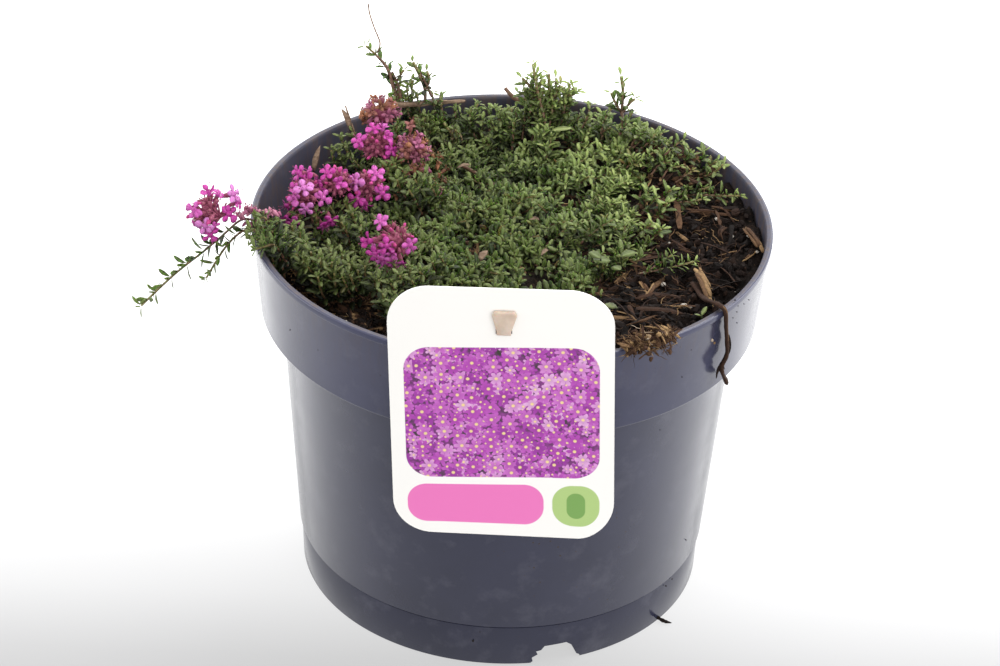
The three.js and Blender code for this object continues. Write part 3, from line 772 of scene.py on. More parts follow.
# A notch in the pot's foot. The one in front is torn at its left side.
def addNotch(shape, k):
    low = potForm["notchFoot"] / 2
    high = potForm["notchTop"] / 2
    tall = potForm["notchHeight"]
    right = [(low, -1), (low, 0), (high, tall)]
    left = [(-high, tall), (-low, 0), (-low, -1)]
    if k == 0:
        left = [(-high + 2.2, tall - 0.4), (-high + 0.9, tall - 2.2), (-high - 0.9, tall - 2.6),
                (-high - 0.3, tall - 4.1), (-low + 2.6, 2.6), (-low + 3.0, 0.9), (-low + 0.8, -1)]
        right = [(low - 1, -1), (low - 0.6, 0.6), (low - 2.2, 1.6), (high + 0.5, tall - 1.6),
                 (high - 1.5, tall)]
    outline = right + left
    turn = swing(radians(potForm["notchTurn"] + 360 / potForm["notches"] * k), "Z")
    near = potForm["footRadius"] - 10
    count = len(outline)
    points = [(near, y, z) for y, z in outline] + [(near + 14, y, z) for y, z in outline]
    faces = [list(range(count - 1, -1, -1)), list(range(count, 2 * count))]
    faces += [[j, (j + 1) % count, count + (j + 1) % count, count + j] for j in range(count)]
    addTo(shape, points, faces, turn)


def addDrain(shape, k):
    a = radians(potForm["notchTurn"] + 360 / potForm["drains"] * (k + 0.5))
    x, y = onCircle(potForm["drainCircle"], a)
    addTube(shape, [(x, y, 1), (x, y, 9)], potForm["drainRadius"], sides=24)


def potFinish():
    finish, tree, shader = newFinish("slatePlastic", IOR=1.55)
    place = objectPlace(tree)
    cloud = noiseAt(place, 28, 4, 0.55)
    base = ramped(cloud, {0.3: (47, 49, 70), 0.7: (55, 57, 80)})
    xyz = put(tree, "ShaderNodeSeparateXYZ", {0: place}).outputs
    flat = put(tree, "ShaderNodeCombineXYZ", {"X": xyz["X"], "Y": xyz["Y"]}).outputs[0]
    radius = put(tree, "ShaderNodeVectorMath", {0: flat}, operation="LENGTH").outputs["Value"]
    lean = sums("MULTIPLY_ADD", xyz["Z"], -0.103, radius)
    inside = times(spanned(lean, 0.0788, 0.0798, 1.0, 0.0),
                  spanned(xyz["Z"], 0.1115, 0.1125))
    streaks = noiseAt(objectPlace(tree, (1, 1, 0.16)), 420, 4, 0.6)
    soiled = times(inside, spanned(streaks, 0.42, 0.66))
    # painted shade: the inner face of the wall is darker. The brown streaks that follow are stains of mix.
    base = mixed(times(inside, 0.45), base, tone(38, 36, 42))
    base = mixed(times(soiled, 0.6), base, tone(66, 52, 44))
    # painted light by height: the foot is darker and the collar and rim are lighter, as the light falls on
    # them
    paintedLightByHeight = levels(spanned(xyz["Z"], 0.0, 0.146), {
        0.0: (0.55, 0.55, 0.55), 0.118: (0.6, 0.6, 0.6), 0.125: (0.68, 0.68, 0.68), 0.4: (0.82, 0.82, 0.82),
        0.74: (0.92, 0.92, 0.92), 0.77: (1.4, 1.38, 1.3), 1.0: (1.62, 1.58, 1.42),
    })
    base = mixed(1.0, base, paintedLightByHeight, "MULTIPLY")
    # dust, and grains of mix that cling to the outside
    film = times(spanned(noiseAt(place, 95, 5, 0.62), 0.52, 0.8), 0.22)
    base = mixed(film, base, tone(112, 112, 124))
    cells = put(tree, "ShaderNodeTexVoronoi", {"Vector": place, "Scale": 260.0, "Randomness": 1.0})
    patch = spanned(noiseAt(place, 16, 2), 0.53, 0.62)
    grain = times(spanned(cells.outputs["Distance"], 0.06, 0.1, 1.0, 0.0), patch)
    base = mixed(grain, base, tone(52, 38, 30))
    feed(shader, "Base Color", base)
    gloss = spanned(noiseAt(place, 60, 5, 0.6), 0.3, 0.7, 0.12, 0.19)
    gloss = sums("MAXIMUM", gloss, times(inside, 0.62))
    feed(shader, "Roughness", gloss)
    skin = noiseAt(place, 1500, 2, 0.5)
    skin = sums("MULTIPLY_ADD", grain, 2.0, skin)
    bumped(shader, skin, 0.07, 0.25)
    return finish


def makePot():
    shape = emptyShape()
    addLathe(shape, potProfile(), potForm["sides"])
    pot = makeObject("nursery_pot", shape, potFinish())
    cutters = emptyShape()
    for k in range(potForm["notches"]):
        addNotch(cutters, k)
    for k in range(potForm["drains"]):
        addDrain(cutters, k)
    cutOut(pot, cutters)
    settle(pot, "pot_plastic", "pot")


makePot()


# Ground rules shared by the mix and the plant

groundForm = {
    "level": 130.0,
    "tilt": 0.09,
    "relief": 1.8,
    "heap": (50, -64),
    "heapReach": 20.0,
    "heapHeight": 7.0,
    "gap": 0.35,
    "matMiddle": (-2, 18),
    "matDome": 9.5,
    "matThickness": 1.4,
    "backRise": 12.0,
    "leftRise": 9.0,
}
# The mat's outline in plan: the distance from its middle at each angle
matReach = [
    (0, 54), (26, 80), (55, 74), (80, 70), (105, 67), (127, 69), (144, 64), (156, 55), (176, 58),
    (189, 74), (198, 84), (208, 87), (221, 77), (237, 78), (253, 64), (281, 61), (303, 62), (326, 62),
    (346, 52), (360, 54),
]


def smoothStep(value, low, high):
    t = min(1.0, max(0.0, (value - low) / (high - low)))
    return t * t * (3 - 2 * t)


def groundLevel(x):
    return groundForm["level"] + groundForm["tilt"] * x


def rumple(x, y, size):
    a = sin(x / 7.3 + 1.7) * cos(y / 6.1 - 0.6)
    b = sin(x / 3.9 - y / 4.7 + 2.1)
    return size * (0.6 * a + 0.4 * b)


def matEdge(angle):
    turn = degrees(angle) % 360
    for (a0, r0), (a1, r1) in zip(matReach, matReach[1:]):
        if a0 <= turn <= a1:
            return r0 + (r1 - r0) * smoothStep(turn, a0, a1)
    return matReach[0][1]


def matShare(x, y):
    dx = x - groundForm["matMiddle"][0]
    dy = y - groundForm["matMiddle"][1]
    return hypot(dx, dy) / matEdge(atan2(dy, dx))


def groundTop(x, y):
    bare = smoothStep(matShare(x, y), 0.95, 1.15)
    away = hypot(x - groundForm["heap"][0], y - groundForm["heap"][1]) / groundForm["heapReach"]
    swell = groundForm["heapHeight"] * exp(-away * away)
    return groundLevel(x) + bare * (1.2 + rumple(x, y, groundForm["relief"]) + swell)


# The mat is higher where it presses against the back of the pot and where it spills over the left
def matRise(x, y):
    back = smoothStep(hypot(x, y), 50, 90) * smoothStep(y, 0, 50)
    left = smoothStep(-x, 60, 85) * (1 - smoothStep(y, -6, 6))
    return groundForm["backRise"] * back + groundForm["leftRise"] * left


def matTop(x, y):
    share = min(1.0, matShare(x, y))
    dome = groundForm["matDome"] * (1 - share * share) ** 0.45
    return groundLevel(x) + groundForm["gap"] + groundForm["matThickness"] + dome + matRise(x, y)


def collarInside(z):
    low = potForm["shoulder"] + potForm["wall"]
    t = (z - low) / (potForm["height"] - 1 - low)
    return potForm["innerFoot"] + (potForm["innerTop"] - potForm["innerFoot"]) * t


# Potting mix

mixForm = {
    "sides": 260,
    "rings": 74,
    "fine": 2.4,
    "shapeSeed": 5,
    # radius and level of the mix's underside along the pot's wall, from the collar down
    "underside": [(89.4, 112.95), (81.85, 112.95), (74.95, 17.5), (72.6, 7.15)],
    "seed": 11,
    "reach": 90.5,
    "crumbs": 2100,
    "lumps": 90,
    "chips": 330,
    "longChips": 46,
    "fibres": 820,
    "grains": 46,
}


def mixFinish():
    finish, tree, shader = newFinish("darkMix", Roughness=0.95, Specular_IOR_Level=0.12)
    place = objectPlace(tree)
    wide = noiseAt(place, 110, 5, 0.65)
    fine = noiseAt(place, 900, 4, 0.6)
    base = ramped(wide, {0.34: (9, 7, 6), 0.54: (22, 16, 13), 0.76: (48, 34, 26)})
    base = mixed(spanned(fine, 0.62, 0.76), base, tone(96, 72, 52))
    feed(shader, "Base Color", base)
    bumped(shader, sums("MULTIPLY_ADD", fine, 0.45, wide), 1.0, 2.4)
    return finish


def looseFinish():
    finish, tree, shader = newFinish("looseBark", Roughness=0.88, Specular_IOR_Level=0.2)
    place = objectPlace(tree)
    shade = reading(tree, "tone")
    base = ramped(shade, {
        0.0: (12, 8, 7), 0.3: (31, 21, 17), 0.55: (64, 43, 31),
        0.78: (96, 70, 49), 0.93: (172, 140, 98), 0.97: (206, 198, 186),
    })
    streak = noiseAt(place, 700, 5, 0.7)
    base = mixed(spanned(streak, 0.35, 0.62, 0.55, 0.0), base, tone(22, 15, 12))
    feed(shader, "Base Color", base)
    bumped(shader, streak, 0.7, 0.5)
    return finish


def mixRelief(x, y):
    spot = Vector((x, y, 0))
    coarse = noise.fractal(spot / 6.0, 0.8, 2.1, 3)
    small = noise.fractal(spot / 2.1 + Vector((9, 3, 5)), 0.7, 2.1, 2)
    bare = smoothStep(matShare(x, y), 0.85, 1.05)
    return groundTop(x, y) + bare * mixForm["fine"] * (coarse * 1.1 + small * 0.5)


def makeMix():
    f = mixForm
    shape = emptyShape()
    points = [(0, 0, mixRelief(0, 0))]
    sides = f["sides"]
    for j in range(1, f["rings"] + 1):
        share = j / f["rings"]
        for k in range(sides):
            a = 2 * pi * k / sides
            edge = collarInside(groundLevel(cos(a) * 95)) - groundForm["gap"]
            x, y = (v * share for v in onCircle(edge, a))
            points.append((x, y, mixRelief(x, y)))
    for radius, z in f["underside"]:
        points += [(*onCircle(radius, 2 * pi * k / sides), z) for k in range(sides)]
    points.append((0, 0, z))
    addTo(shape, points, ringFaces(len(points), sides))
    addPiece("potting_mix", shape, mixFinish(), "potting_mix", "soil")


# Loose shapes: 0 to 2 crumbs, 3 to 5 chips, 6 to 8 fibres, 9 grain
def looseShapes():
    collection = shapeCollection("looseShapes")
    rng = Random(mixForm["shapeSeed"])
    for k in range(3):
        shape = emptyShape()
        addLump(shape, (0, 0, 0), (1.0, 0.8, 0.6), k + 1, sides=6, rings=4, uneven=0.9)
        makeObject(f"a{k}", shape, smooth=False, collection=collection)
    for k in range(3):
        shape = emptyShape()
        bend = rng.uniform(-0.6, 0.6)
        path = [(-4.6, 0, 0), (-2.8, bend * 0.5, 0.25), (0, bend, 0.4), (2.9, bend * 0.3, 0.2),
                (5.2, -bend, -0.1)]
        radii = [(0.45, 0.8, 0.65, 0.9, 0.3), (0.25, 0.6, 0.95, 0.7, 0.5), (0.6, 0.75, 0.5, 0.55, 0.2)][k]
        addTube(shape, path, radii, sides=5, flat=0.35)
        makeObject(f"b{k}", shape, smooth=False, collection=collection)
    for k in range(3):
        shape = emptyShape()
        path = [(-5, rng.uniform(-1, 1), 0)]
        for j in range(1, 6):
            path.append((-5 + 2 * j, path[-1][1] + rng.uniform(-0.8, 0.8), rng.uniform(-0.1, 0.7)))
        addTube(shape, path, [0.1, 0.2, 0.22, 0.2, 0.16, 0.06], sides=3)
        makeObject(f"c{k}", shape, collection=collection)
    shape = emptyShape()
    addLump(shape, (0, 0, 0), (0.9, 0.8, 0.7), 9, sides=7, rings=5, uneven=0.5)
    makeObject("d0", shape, collection=collection)
    return collection


def bareSpots(rng, count, margin):
    spots = []
    while len(spots) < count:
        a = rng.uniform(0, 2 * pi)
        x, y = onCircle((mixForm["reach"] - margin) * sqrt(rng.random()), a)
        if matShare(x, y) > 0.9:
            spots.append((x, y))
    return spots


def makeLoose(finish):
    f = mixForm
    rng = Random(f["seed"])
    shapes = looseShapes()
    spots = []

    def lay(x, y, lift, *marks):
        spots.append(spotAt((x, y, mixRelief(x, y) + lift), *marks))

    for x, y in bareSpots(rng, f["crumbs"], 1.5):
        size = rng.uniform(0.5, 1.65) ** 1.5
        lay(x, y, 0.3 * size, rng.randrange(3), anyTurn(rng), size, rng.uniform(0.0, 0.42))
    for x, y in bareSpots(rng, f["lumps"], 7):
        size = rng.uniform(2.0, 3.8)
        lay(x, y, 0, rng.randrange(3), anyTurn(rng),
            (size, size * rng.uniform(0.6, 1), size * rng.uniform(0.5, 0.8)), rng.uniform(0.0, 0.4))
    for x, y in bareSpots(rng, f["longChips"], 14):
        size = rng.uniform(1.2, 1.9)
        lay(x, y, rng.uniform(0.8, 2.2), 3 + rng.randrange(3), flatTurn(rng, 0.6, 0.25),
            (size, size * rng.uniform(0.5, 1.1), size * 0.8), rng.uniform(0.3, 0.9))
    for x, y in bareSpots(rng, f["chips"], 7):
        size = rng.uniform(0.4, 1.25)
        lay(x, y, rng.uniform(0.4, 1.6), 3 + rng.randrange(3), flatTurn(rng, 0.6, 0.3),
            (size, size * rng.uniform(0.6, 1.2), size), rng.random() ** 2.0 * 0.92)
    for x, y in bareSpots(rng, f["fibres"], 6):
        size = rng.uniform(0.4, 1.1)
        lay(x, y, rng.uniform(0.3, 1.8), 6 + rng.randrange(3), flatTurn(rng, 0.5, 0.4), size,
            rng.uniform(0.25, 0.94))
    for x, y in bareSpots(rng, f["grains"], 4):
        size = rng.uniform(0.5, 1.1)
        lay(x, y, 0.5, 9, anyTurn(rng), size, 1.0)
    settle(strewn("mix_surface_litter", spots, shapes, finish, 3), "potting_mix")
    return shapes


trees = {"leafy": leafyStemTree(), "strewn": strewnTree()}
looseBark = looseFinish()
makeMix()
looseSet = makeLoose(looseBark)
print("pot filled")


# Thyme: leaves and stems

leafForm = {
    "length": 4.9,
    "width": 1.85,
    "smallLength": 3.1,
    "smallWidth": 1.15,
    "thick": 0.06,
    "kinds": 4,
    "seed": 3,
}
matForm = {
    "seed": 23,
    "plumeSpacing": 12.6,
    "sideShoots": 5,
    "fillSpacing": 10.5,
    # as leafyPiece takes it
    "habit": (1.55, 1.0, 0.24, 0.3, 0.18, 1.2, 0.36),
    "parts": 4,
    "mounds": 5.6,
    "edgeShare": 1.03,
    "wallReach": 87,
    "litterReach": 86,
    "litterShare": 1.1,
    "litterSeed": 47,
    # pixels of the photograph where the mat is open and dark, each with a radius
    "hollows": [
        (680, 181, 9), (662, 177, 6), (704, 181, 9), (722, 188, 7), (646, 211, 5), (590, 247, 5),
        (565, 138, 5), (440, 146, 5), (505, 182, 6), (551, 192, 4), (426, 214, 5), (465, 232, 4),
        (556, 280, 3), (298, 297, 6.5), (328, 309, 9), (352, 313, 9), (377, 322, 8), (283, 282, 5.5),
        (312, 297, 5.5), (345, 298, 5.5), (363, 303, 5), (272, 263, 7), (288, 270, 7), (303, 278, 6),
        (322, 288, 7), (345, 290, 8), (363, 286, 5.5), (372, 294, 5.5), (648, 209, 4), (650, 236, 4),
        (573, 192, 4), (336, 236, 4), (420, 138, 5), (425, 118, 4), (523, 138, 4), (643, 137, 5),
        (600, 138, 4), (672, 141, 4), (490, 170, 4), (522, 178, 5), (545, 195, 4), (561, 213, 4),
        (438, 218, 4), (475, 245, 4), (512, 262, 4), (640, 197, 5), (612, 277, 6), (629, 273, 6),
        (642, 267, 5), (601, 285, 4), (655, 262, 4),
    ],
    # pixels where plumes stand higher, each with a radius and a lift
    "ridges": [
        (578, 168, 6, 3), (600, 158, 6, 3), (622, 154, 6, 3), (645, 153, 6, 3), (668, 157, 6, 3),
        (690, 158, 5, 2.5), (590, 180, 6, 2), (620, 182, 6, 2), (560, 237, 5, 2.5), (578, 230, 5, 3),
        (600, 228, 5, 3.5), (622, 232, 5, 3.5), (642, 240, 5, 3), (600, 205, 5, 2.5), (625, 210, 5, 2),
        (470, 188, 6, 2), (490, 192, 6, 2.5), (515, 200, 6, 2.5), (535, 214, 5, 2), (485, 122, 6, 3),
        (510, 128, 6, 2), (535, 124, 4, 3), (545, 115, 5, 3), (440, 126, 5, 2), (455, 165, 6, 2),
        (400, 272, 6, 2.5), (415, 262, 6, 2), (440, 252, 6, 2.5), (480, 265, 5, 2), (337, 264, 6, 2.5),
        (310, 246, 6, 2),
    ],
}


def thymeFinish():
    finish, tree, shader = newFinish("thymeGrowth", Specular_IOR_Level=0.35, Subsurface_Weight=0.18,
                                     Subsurface_Radius=(0.5, 1.0, 0.3), Subsurface_Scale=0.0012)
    place = objectPlace(tree)
    leafTone = reading(tree, "leafTone")
    shootTone = reading(tree, "shootTone")
    along = reading(tree, "along")
    rib = reading(tree, "rib")
    mix = sums("MULTIPLY_ADD", leafTone, 0.55, times(shootTone, 0.45))
    leaf = ramped(mix, {
        0.0: (32, 42, 18), 0.35: (57, 72, 28), 0.7: (86, 100, 46), 1.0: (124, 134, 86),
    })
    # lighter and yellower towards each shoot's tip
    towardsTip = times(sums("POWER", along, 3.0), 0.6)
    leaf = mixed(towardsTip, leaf, tone(134, 147, 80))
    mottle = noiseAt(place, 1500, 3, 0.6)
    leaf = mixed(spanned(mottle, 0.4, 0.75, 0.0, 0.3), leaf, tone(58, 84, 40))
    leaf = mixed(spanned(rib, 0.0, 0.28, 0.4, 0.0), leaf, tone(140, 156, 100))
    old = spanned(mix, 0.03, 0.1, 0.75, 0.0)
    leaf = mixed(old, leaf, tone(122, 88, 48))
    # darker towards each shoot's foot: painted shade deep in the mat, with the darker colour of older leaves
    footShadeAndAge = ramped(along, {
        0.25: (132, 128, 118), 0.7: (226, 226, 224), 0.95: (255, 255, 255),
    })
    leaf = mixed(1.0, leaf, footShadeAndAge, "MULTIPLY")
    # painted light: leaves are lighter at the back and at the right, where more light falls on them
    axes = put(tree, "ShaderNodeSeparateXYZ", {0: place}).outputs
    paintedBackRightLight = spanned(sums("MULTIPLY_ADD", axes["Y"], 0.5, axes["X"]), -0.06, 0.09)
    paintedBackRightLight = levels(paintedBackRightLight, {
        0.0: (0.68, 0.67, 0.62), 0.3: (0.7, 0.7, 0.64), 0.45: (0.74, 0.74, 0.68), 0.6: (1.02, 1.04, 0.98),
        0.77: (1.56, 1.56, 1.5), 0.97: (1.12, 1.12, 1.05),
    })
    leaf = mixed(1.0, leaf, paintedBackRightLight, "MULTIPLY")
    bark = noiseAt(objectPlace(tree, (1, 1, 0.4)), 1300, 3, 0.6)
    stem = ramped(bark, {0.3: (74, 52, 40), 0.7: (124, 92, 72)})
    stem = mixed(sums("POWER", along, 3.0), stem, tone(128, 118, 72))
    stemShare = reading(tree, "stemShare")
    feed(shader, "Base Color", mixed(stemShare, leaf, stem))
    feed(shader, "Roughness", spanned(mottle, 0.3, 0.7, 0.42, 0.6))
    bumped(shader, mottle, 0.35, 0.2)
    return finish


# A pair of opposite leaves with small axillary leaves, in a few kinds
def leafShapes():
    collection = shapeCollection("leafShapes")
    f = leafForm
    rng = Random(f["seed"])
    for k in range(f["kinds"]):
        shape = emptyShape()
        for side in range(2):
            turn = side * pi + rng.uniform(-0.2, 0.2)
            tilt = rng.uniform(0.35, 0.75)
            place = swing(turn, "Z") @ swing(-tilt, "Y")
            place = place @ Matrix.Translation((0.3, 0, 0)) @ swing(rng.uniform(-0.3, 0.3), "X")
            length = f["length"] * rng.uniform(0.88, 1.12)
            addBlade(shape, place, length, f["width"] * rng.uniform(0.9, 1.1), 3, 0.58, 0.12,
                     rng.uniform(0.05, 0.3), 0.22, f["thick"])
        for side in range(2):
            turn = side * pi + rng.uniform(0.25, 0.7)
            tilt = rng.uniform(0.75, 1.15)
            place = swing(turn, "Z") @ swing(-tilt, "Y")
            place = place @ Matrix.Translation((0.25, 0, 0.3))
            addBlade(shape, place, f["smallLength"] * rng.uniform(0.8, 1.2), f["smallWidth"], 2, 0.55, 0.1,
                     0.15, 0.2, f["thick"])
        makeObject(f"pair{k}", shape, collection=collection)
    return collection


# A short creeping shoot whose tip rises through the mat's surface
def shootTo(rng, x, y, top, heading, length):
    way = Vector((cos(heading), sin(heading), 0))
    tip = Vector((x, y, top))
    foot = tip - way * length * 0.8
    foot.z = min(top - 2.5, max(groundLevel(foot.x) + 0.4, matTop(foot.x, foot.y) - rng.uniform(4, 7)))
    bend = tip - way * length * 0.36
    bend.z = foot.z + (top - foot.z) * rng.uniform(0.3, 0.8)
    path = []
    for j in range(6):
        t = j / 5
        path.append(foot * (1 - t) ** 2 + bend * 2 * t * (1 - t) + tip * t * t)
    return path, [1.0, 0.95, 0.9, 0.8, 0.65, 0.4]


def surfaceTop(x, y):
    return matTop(x, y) if matShare(x, y) < 1 else mixRelief(x, y)


# Where a pixel of the photograph shows the mat or the bare mix
def pixelOnTop(x, y, lift=0.0):
    spot = pixelAtHeight(x, y, 145)
    for _ in range(12):
        spot = pixelAtHeight(x, y, (spot.z + surfaceTop(spot.x, spot.y) + lift) / 2)
    return spot


# Near 1 close to a spot, 0 well beyond its reach
def nearness(x, y, spot, reach):
    return exp(-((x - spot.x) ** 2 + (y - spot.y) ** 2) / reach ** 2)


# Uneven rows of spots over the whole pot
def scattered(rng, step):
    spots = []
    for j in range(int(190 / (step * 0.87))):
        for k in range(int(190 / step)):
            x = -95 + (k + 0.5 * (j % 2)) * step + rng.uniform(-0.36, 0.36) * step
            y = -95 + j * step * 0.87 + rng.uniform(-0.36, 0.36) * step
            spots.append((x, y))
    return spots


def matShoots():
    f = matForm
    rng = Random(f["seed"])
    middle = Vector((*groundForm["matMiddle"], 0))
    hollows = [(pixelOnTop(x, y), reach) for x, y, reach in f["hollows"]]
    ridges = [(pixelOnTop(x, y), reach, lift) for x, y, reach, lift in f["ridges"]]
    strands = []

    def isOpen(x, y):
        return any(hypot(x - spot.x, y - spot.y) < reach for spot, reach in hollows)

    def addShoot(x, y, drop, heading, length):
        share = matShare(x, y)
        midX = x - cos(heading) * length * 0.4
        midY = y - sin(heading) * length * 0.4
        if share > f["edgeShare"] or hypot(x, y) > f["wallReach"]:
            return
        if isOpen(x, y) or isOpen(midX, midY):
            return
        mound = noise.noise(Vector((x / 13, y / 13, 4.2))) * f["mounds"]
        mound += max(lift * nearness(x, y, spot, reach) for spot, reach, lift in ridges)
        mound -= max(5.0 * nearness(x, y, spot, reach * 1.3) for spot, reach in hollows)
        # the mat sinks where it meets the wall at the back right
        mound -= 4.5 * smoothStep(x, 0, 40) * smoothStep(y, 0, 25) * smoothStep(hypot(x, y), 62, 82)
        top = max(groundLevel(x) + 1.5, matTop(x, y) + mound - drop)
        strands.append(shootTo(rng, x, y, top, heading, length))

    # plumes: a long shoot with shorter ones along its sides
    for x, y in scattered(rng, f["plumeSpacing"]):
        swirl = noise.noise(Vector((x / 30, y / 30, 8.8))) * 1.6
        heading = atan2(y - middle.y, x - middle.x) + swirl + rng.gauss(0, 0.4)
        way = Vector((cos(heading), sin(heading)))
        across = Vector((-way.y, way.x))
        drop = rng.uniform(-2.2, 0.6)
        addShoot(x, y, drop, heading, rng.uniform(20, 30))
        for j in range(f["sideShoots"]):
            side = 1 - 2 * (j % 2)
            back = 2.5 + 2.7 * j + rng.uniform(-0.8, 0.8)
            spot = Vector((x, y)) - way * back + across * side * rng.uniform(3.2, 5.2)
            fall = drop + 0.8 + 0.12 * back + rng.uniform(-1.0, 1.0)
            addShoot(spot.x, spot.y, fall, heading + side * rng.uniform(0.3, 0.9), rng.uniform(8, 13))
    # lower shoots between the plumes
    for x, y in scattered(rng, f["fillSpacing"]):
        heading = atan2(y - middle.y, x - middle.x) + rng.gauss(0, 0.9)
        addShoot(x, y, rng.uniform(3.2, 5.4), heading, rng.uniform(9, 15))
    rng.shuffle(strands)
    return strands


# A piece made of leafy stems. Its habit: leaf spacing, leaf size and how far it varies, shrink at the tip,
# bare share, pull of the light, stem radius.
def leafyPiece(name, strands, habit, seed, *nodes):
    spacing, size, spread, shrink, bare, pull, radius = habit
    piece = grown(name, curveStrands(strands), trees["leafy"], {
        "Leaf Shapes": leafSet, "Leaf Spacing": spacing * mm, "Leaf Size": size, "Size Spread": spread,
        "Tip Shrink": shrink, "Bare Share": bare, "Light Pull": pull, "Stem Radius": radius * mm,
        "Seed": seed, "Finish": thymeGreen,
    })
    settle(piece, "leaf", *nodes)


def makeMat():
    f = matForm
    strands = matShoots()
    print("shoots in the mat", len(strands))
    for k in range(f["parts"]):
        share = strands[k::f["parts"]]
        leafyPiece(f"thyme_shoots_{k + 1}", share, f["habit"], f["seed"] + 10 * k, "thyme_mat")


tangleForm = {
    "sides": 144,
    "rings": 44,
    "reach": 0.985,
    "under": 0.6,
    # steps from the mat's middle, level and radius
    "crown": [(0, 0, 92, 1.8), (0.6, 0, 105, 2.3), (0, 0.5, 120, 2.7), (0, 0, 131, 3.0)],
}


def tangleTop(x, y):
    rough = noise.fractal(Vector((x, y, 2)) / 3.2, 0.8, 2.0, 3)
    share = min(1.0, matShare(x, y))
    return max(groundLevel(x) + 0.7 * (1 - share) + 0.2, matTop(x, y) - 6.6 + 1.6 * rough)


# The woody tangle under the leaves, on the crown that goes down into the mix. Its colour is darkened with
# painted shade, as deep in the mat.
def makeTangle():
    f = tangleForm
    finish = grainFinish("shadedWoodyTangle", (420, 5, 0.7, 1.5),
                         {0.35: (19, 15, 12), 0.55: (38, 30, 23), 0.7: (74, 56, 42)},
                         (1.0, 1.5), Roughness=0.9, Specular_IOR_Level=0.2)
    shape = emptyShape()
    sides = f["sides"]
    cx, cy = groundForm["matMiddle"]
    points = [(cx, cy, tangleTop(cx, cy))]
    for j in range(1, f["rings"] + 1):
        for k in range(sides):
            a = 2 * pi * k / sides
            dx, dy = onCircle(matEdge(a) * f["reach"] * j / f["rings"], a)
            points.append((cx + dx, cy + dy, tangleTop(cx + dx, cy + dy)))
    points += [(x, y, groundLevel(x) - f["under"]) for x, y, _ in points[-sides:]]
    points.append((cx, cy, groundLevel(cx) - f["under"]))
    addTo(shape, points, ringFaces(len(points), sides))
    crown = [(cx + dx, cy + dy, z) for dx, dy, z, _ in f["crown"]]
    addTube(shape, crown, [radius for *_, radius in f["crown"]], 9)
    addPiece("thyme_tangle", shape, finish, "leaf", "thyme_mat")


thymeGreen = thymeFinish()
leafSet = leafShapes()
makeTangle()
makeMat()
print("mat grown")


# Sprigs that leave the mat: trailing and standing stems, back shoots, tufts, runners on the bare mix

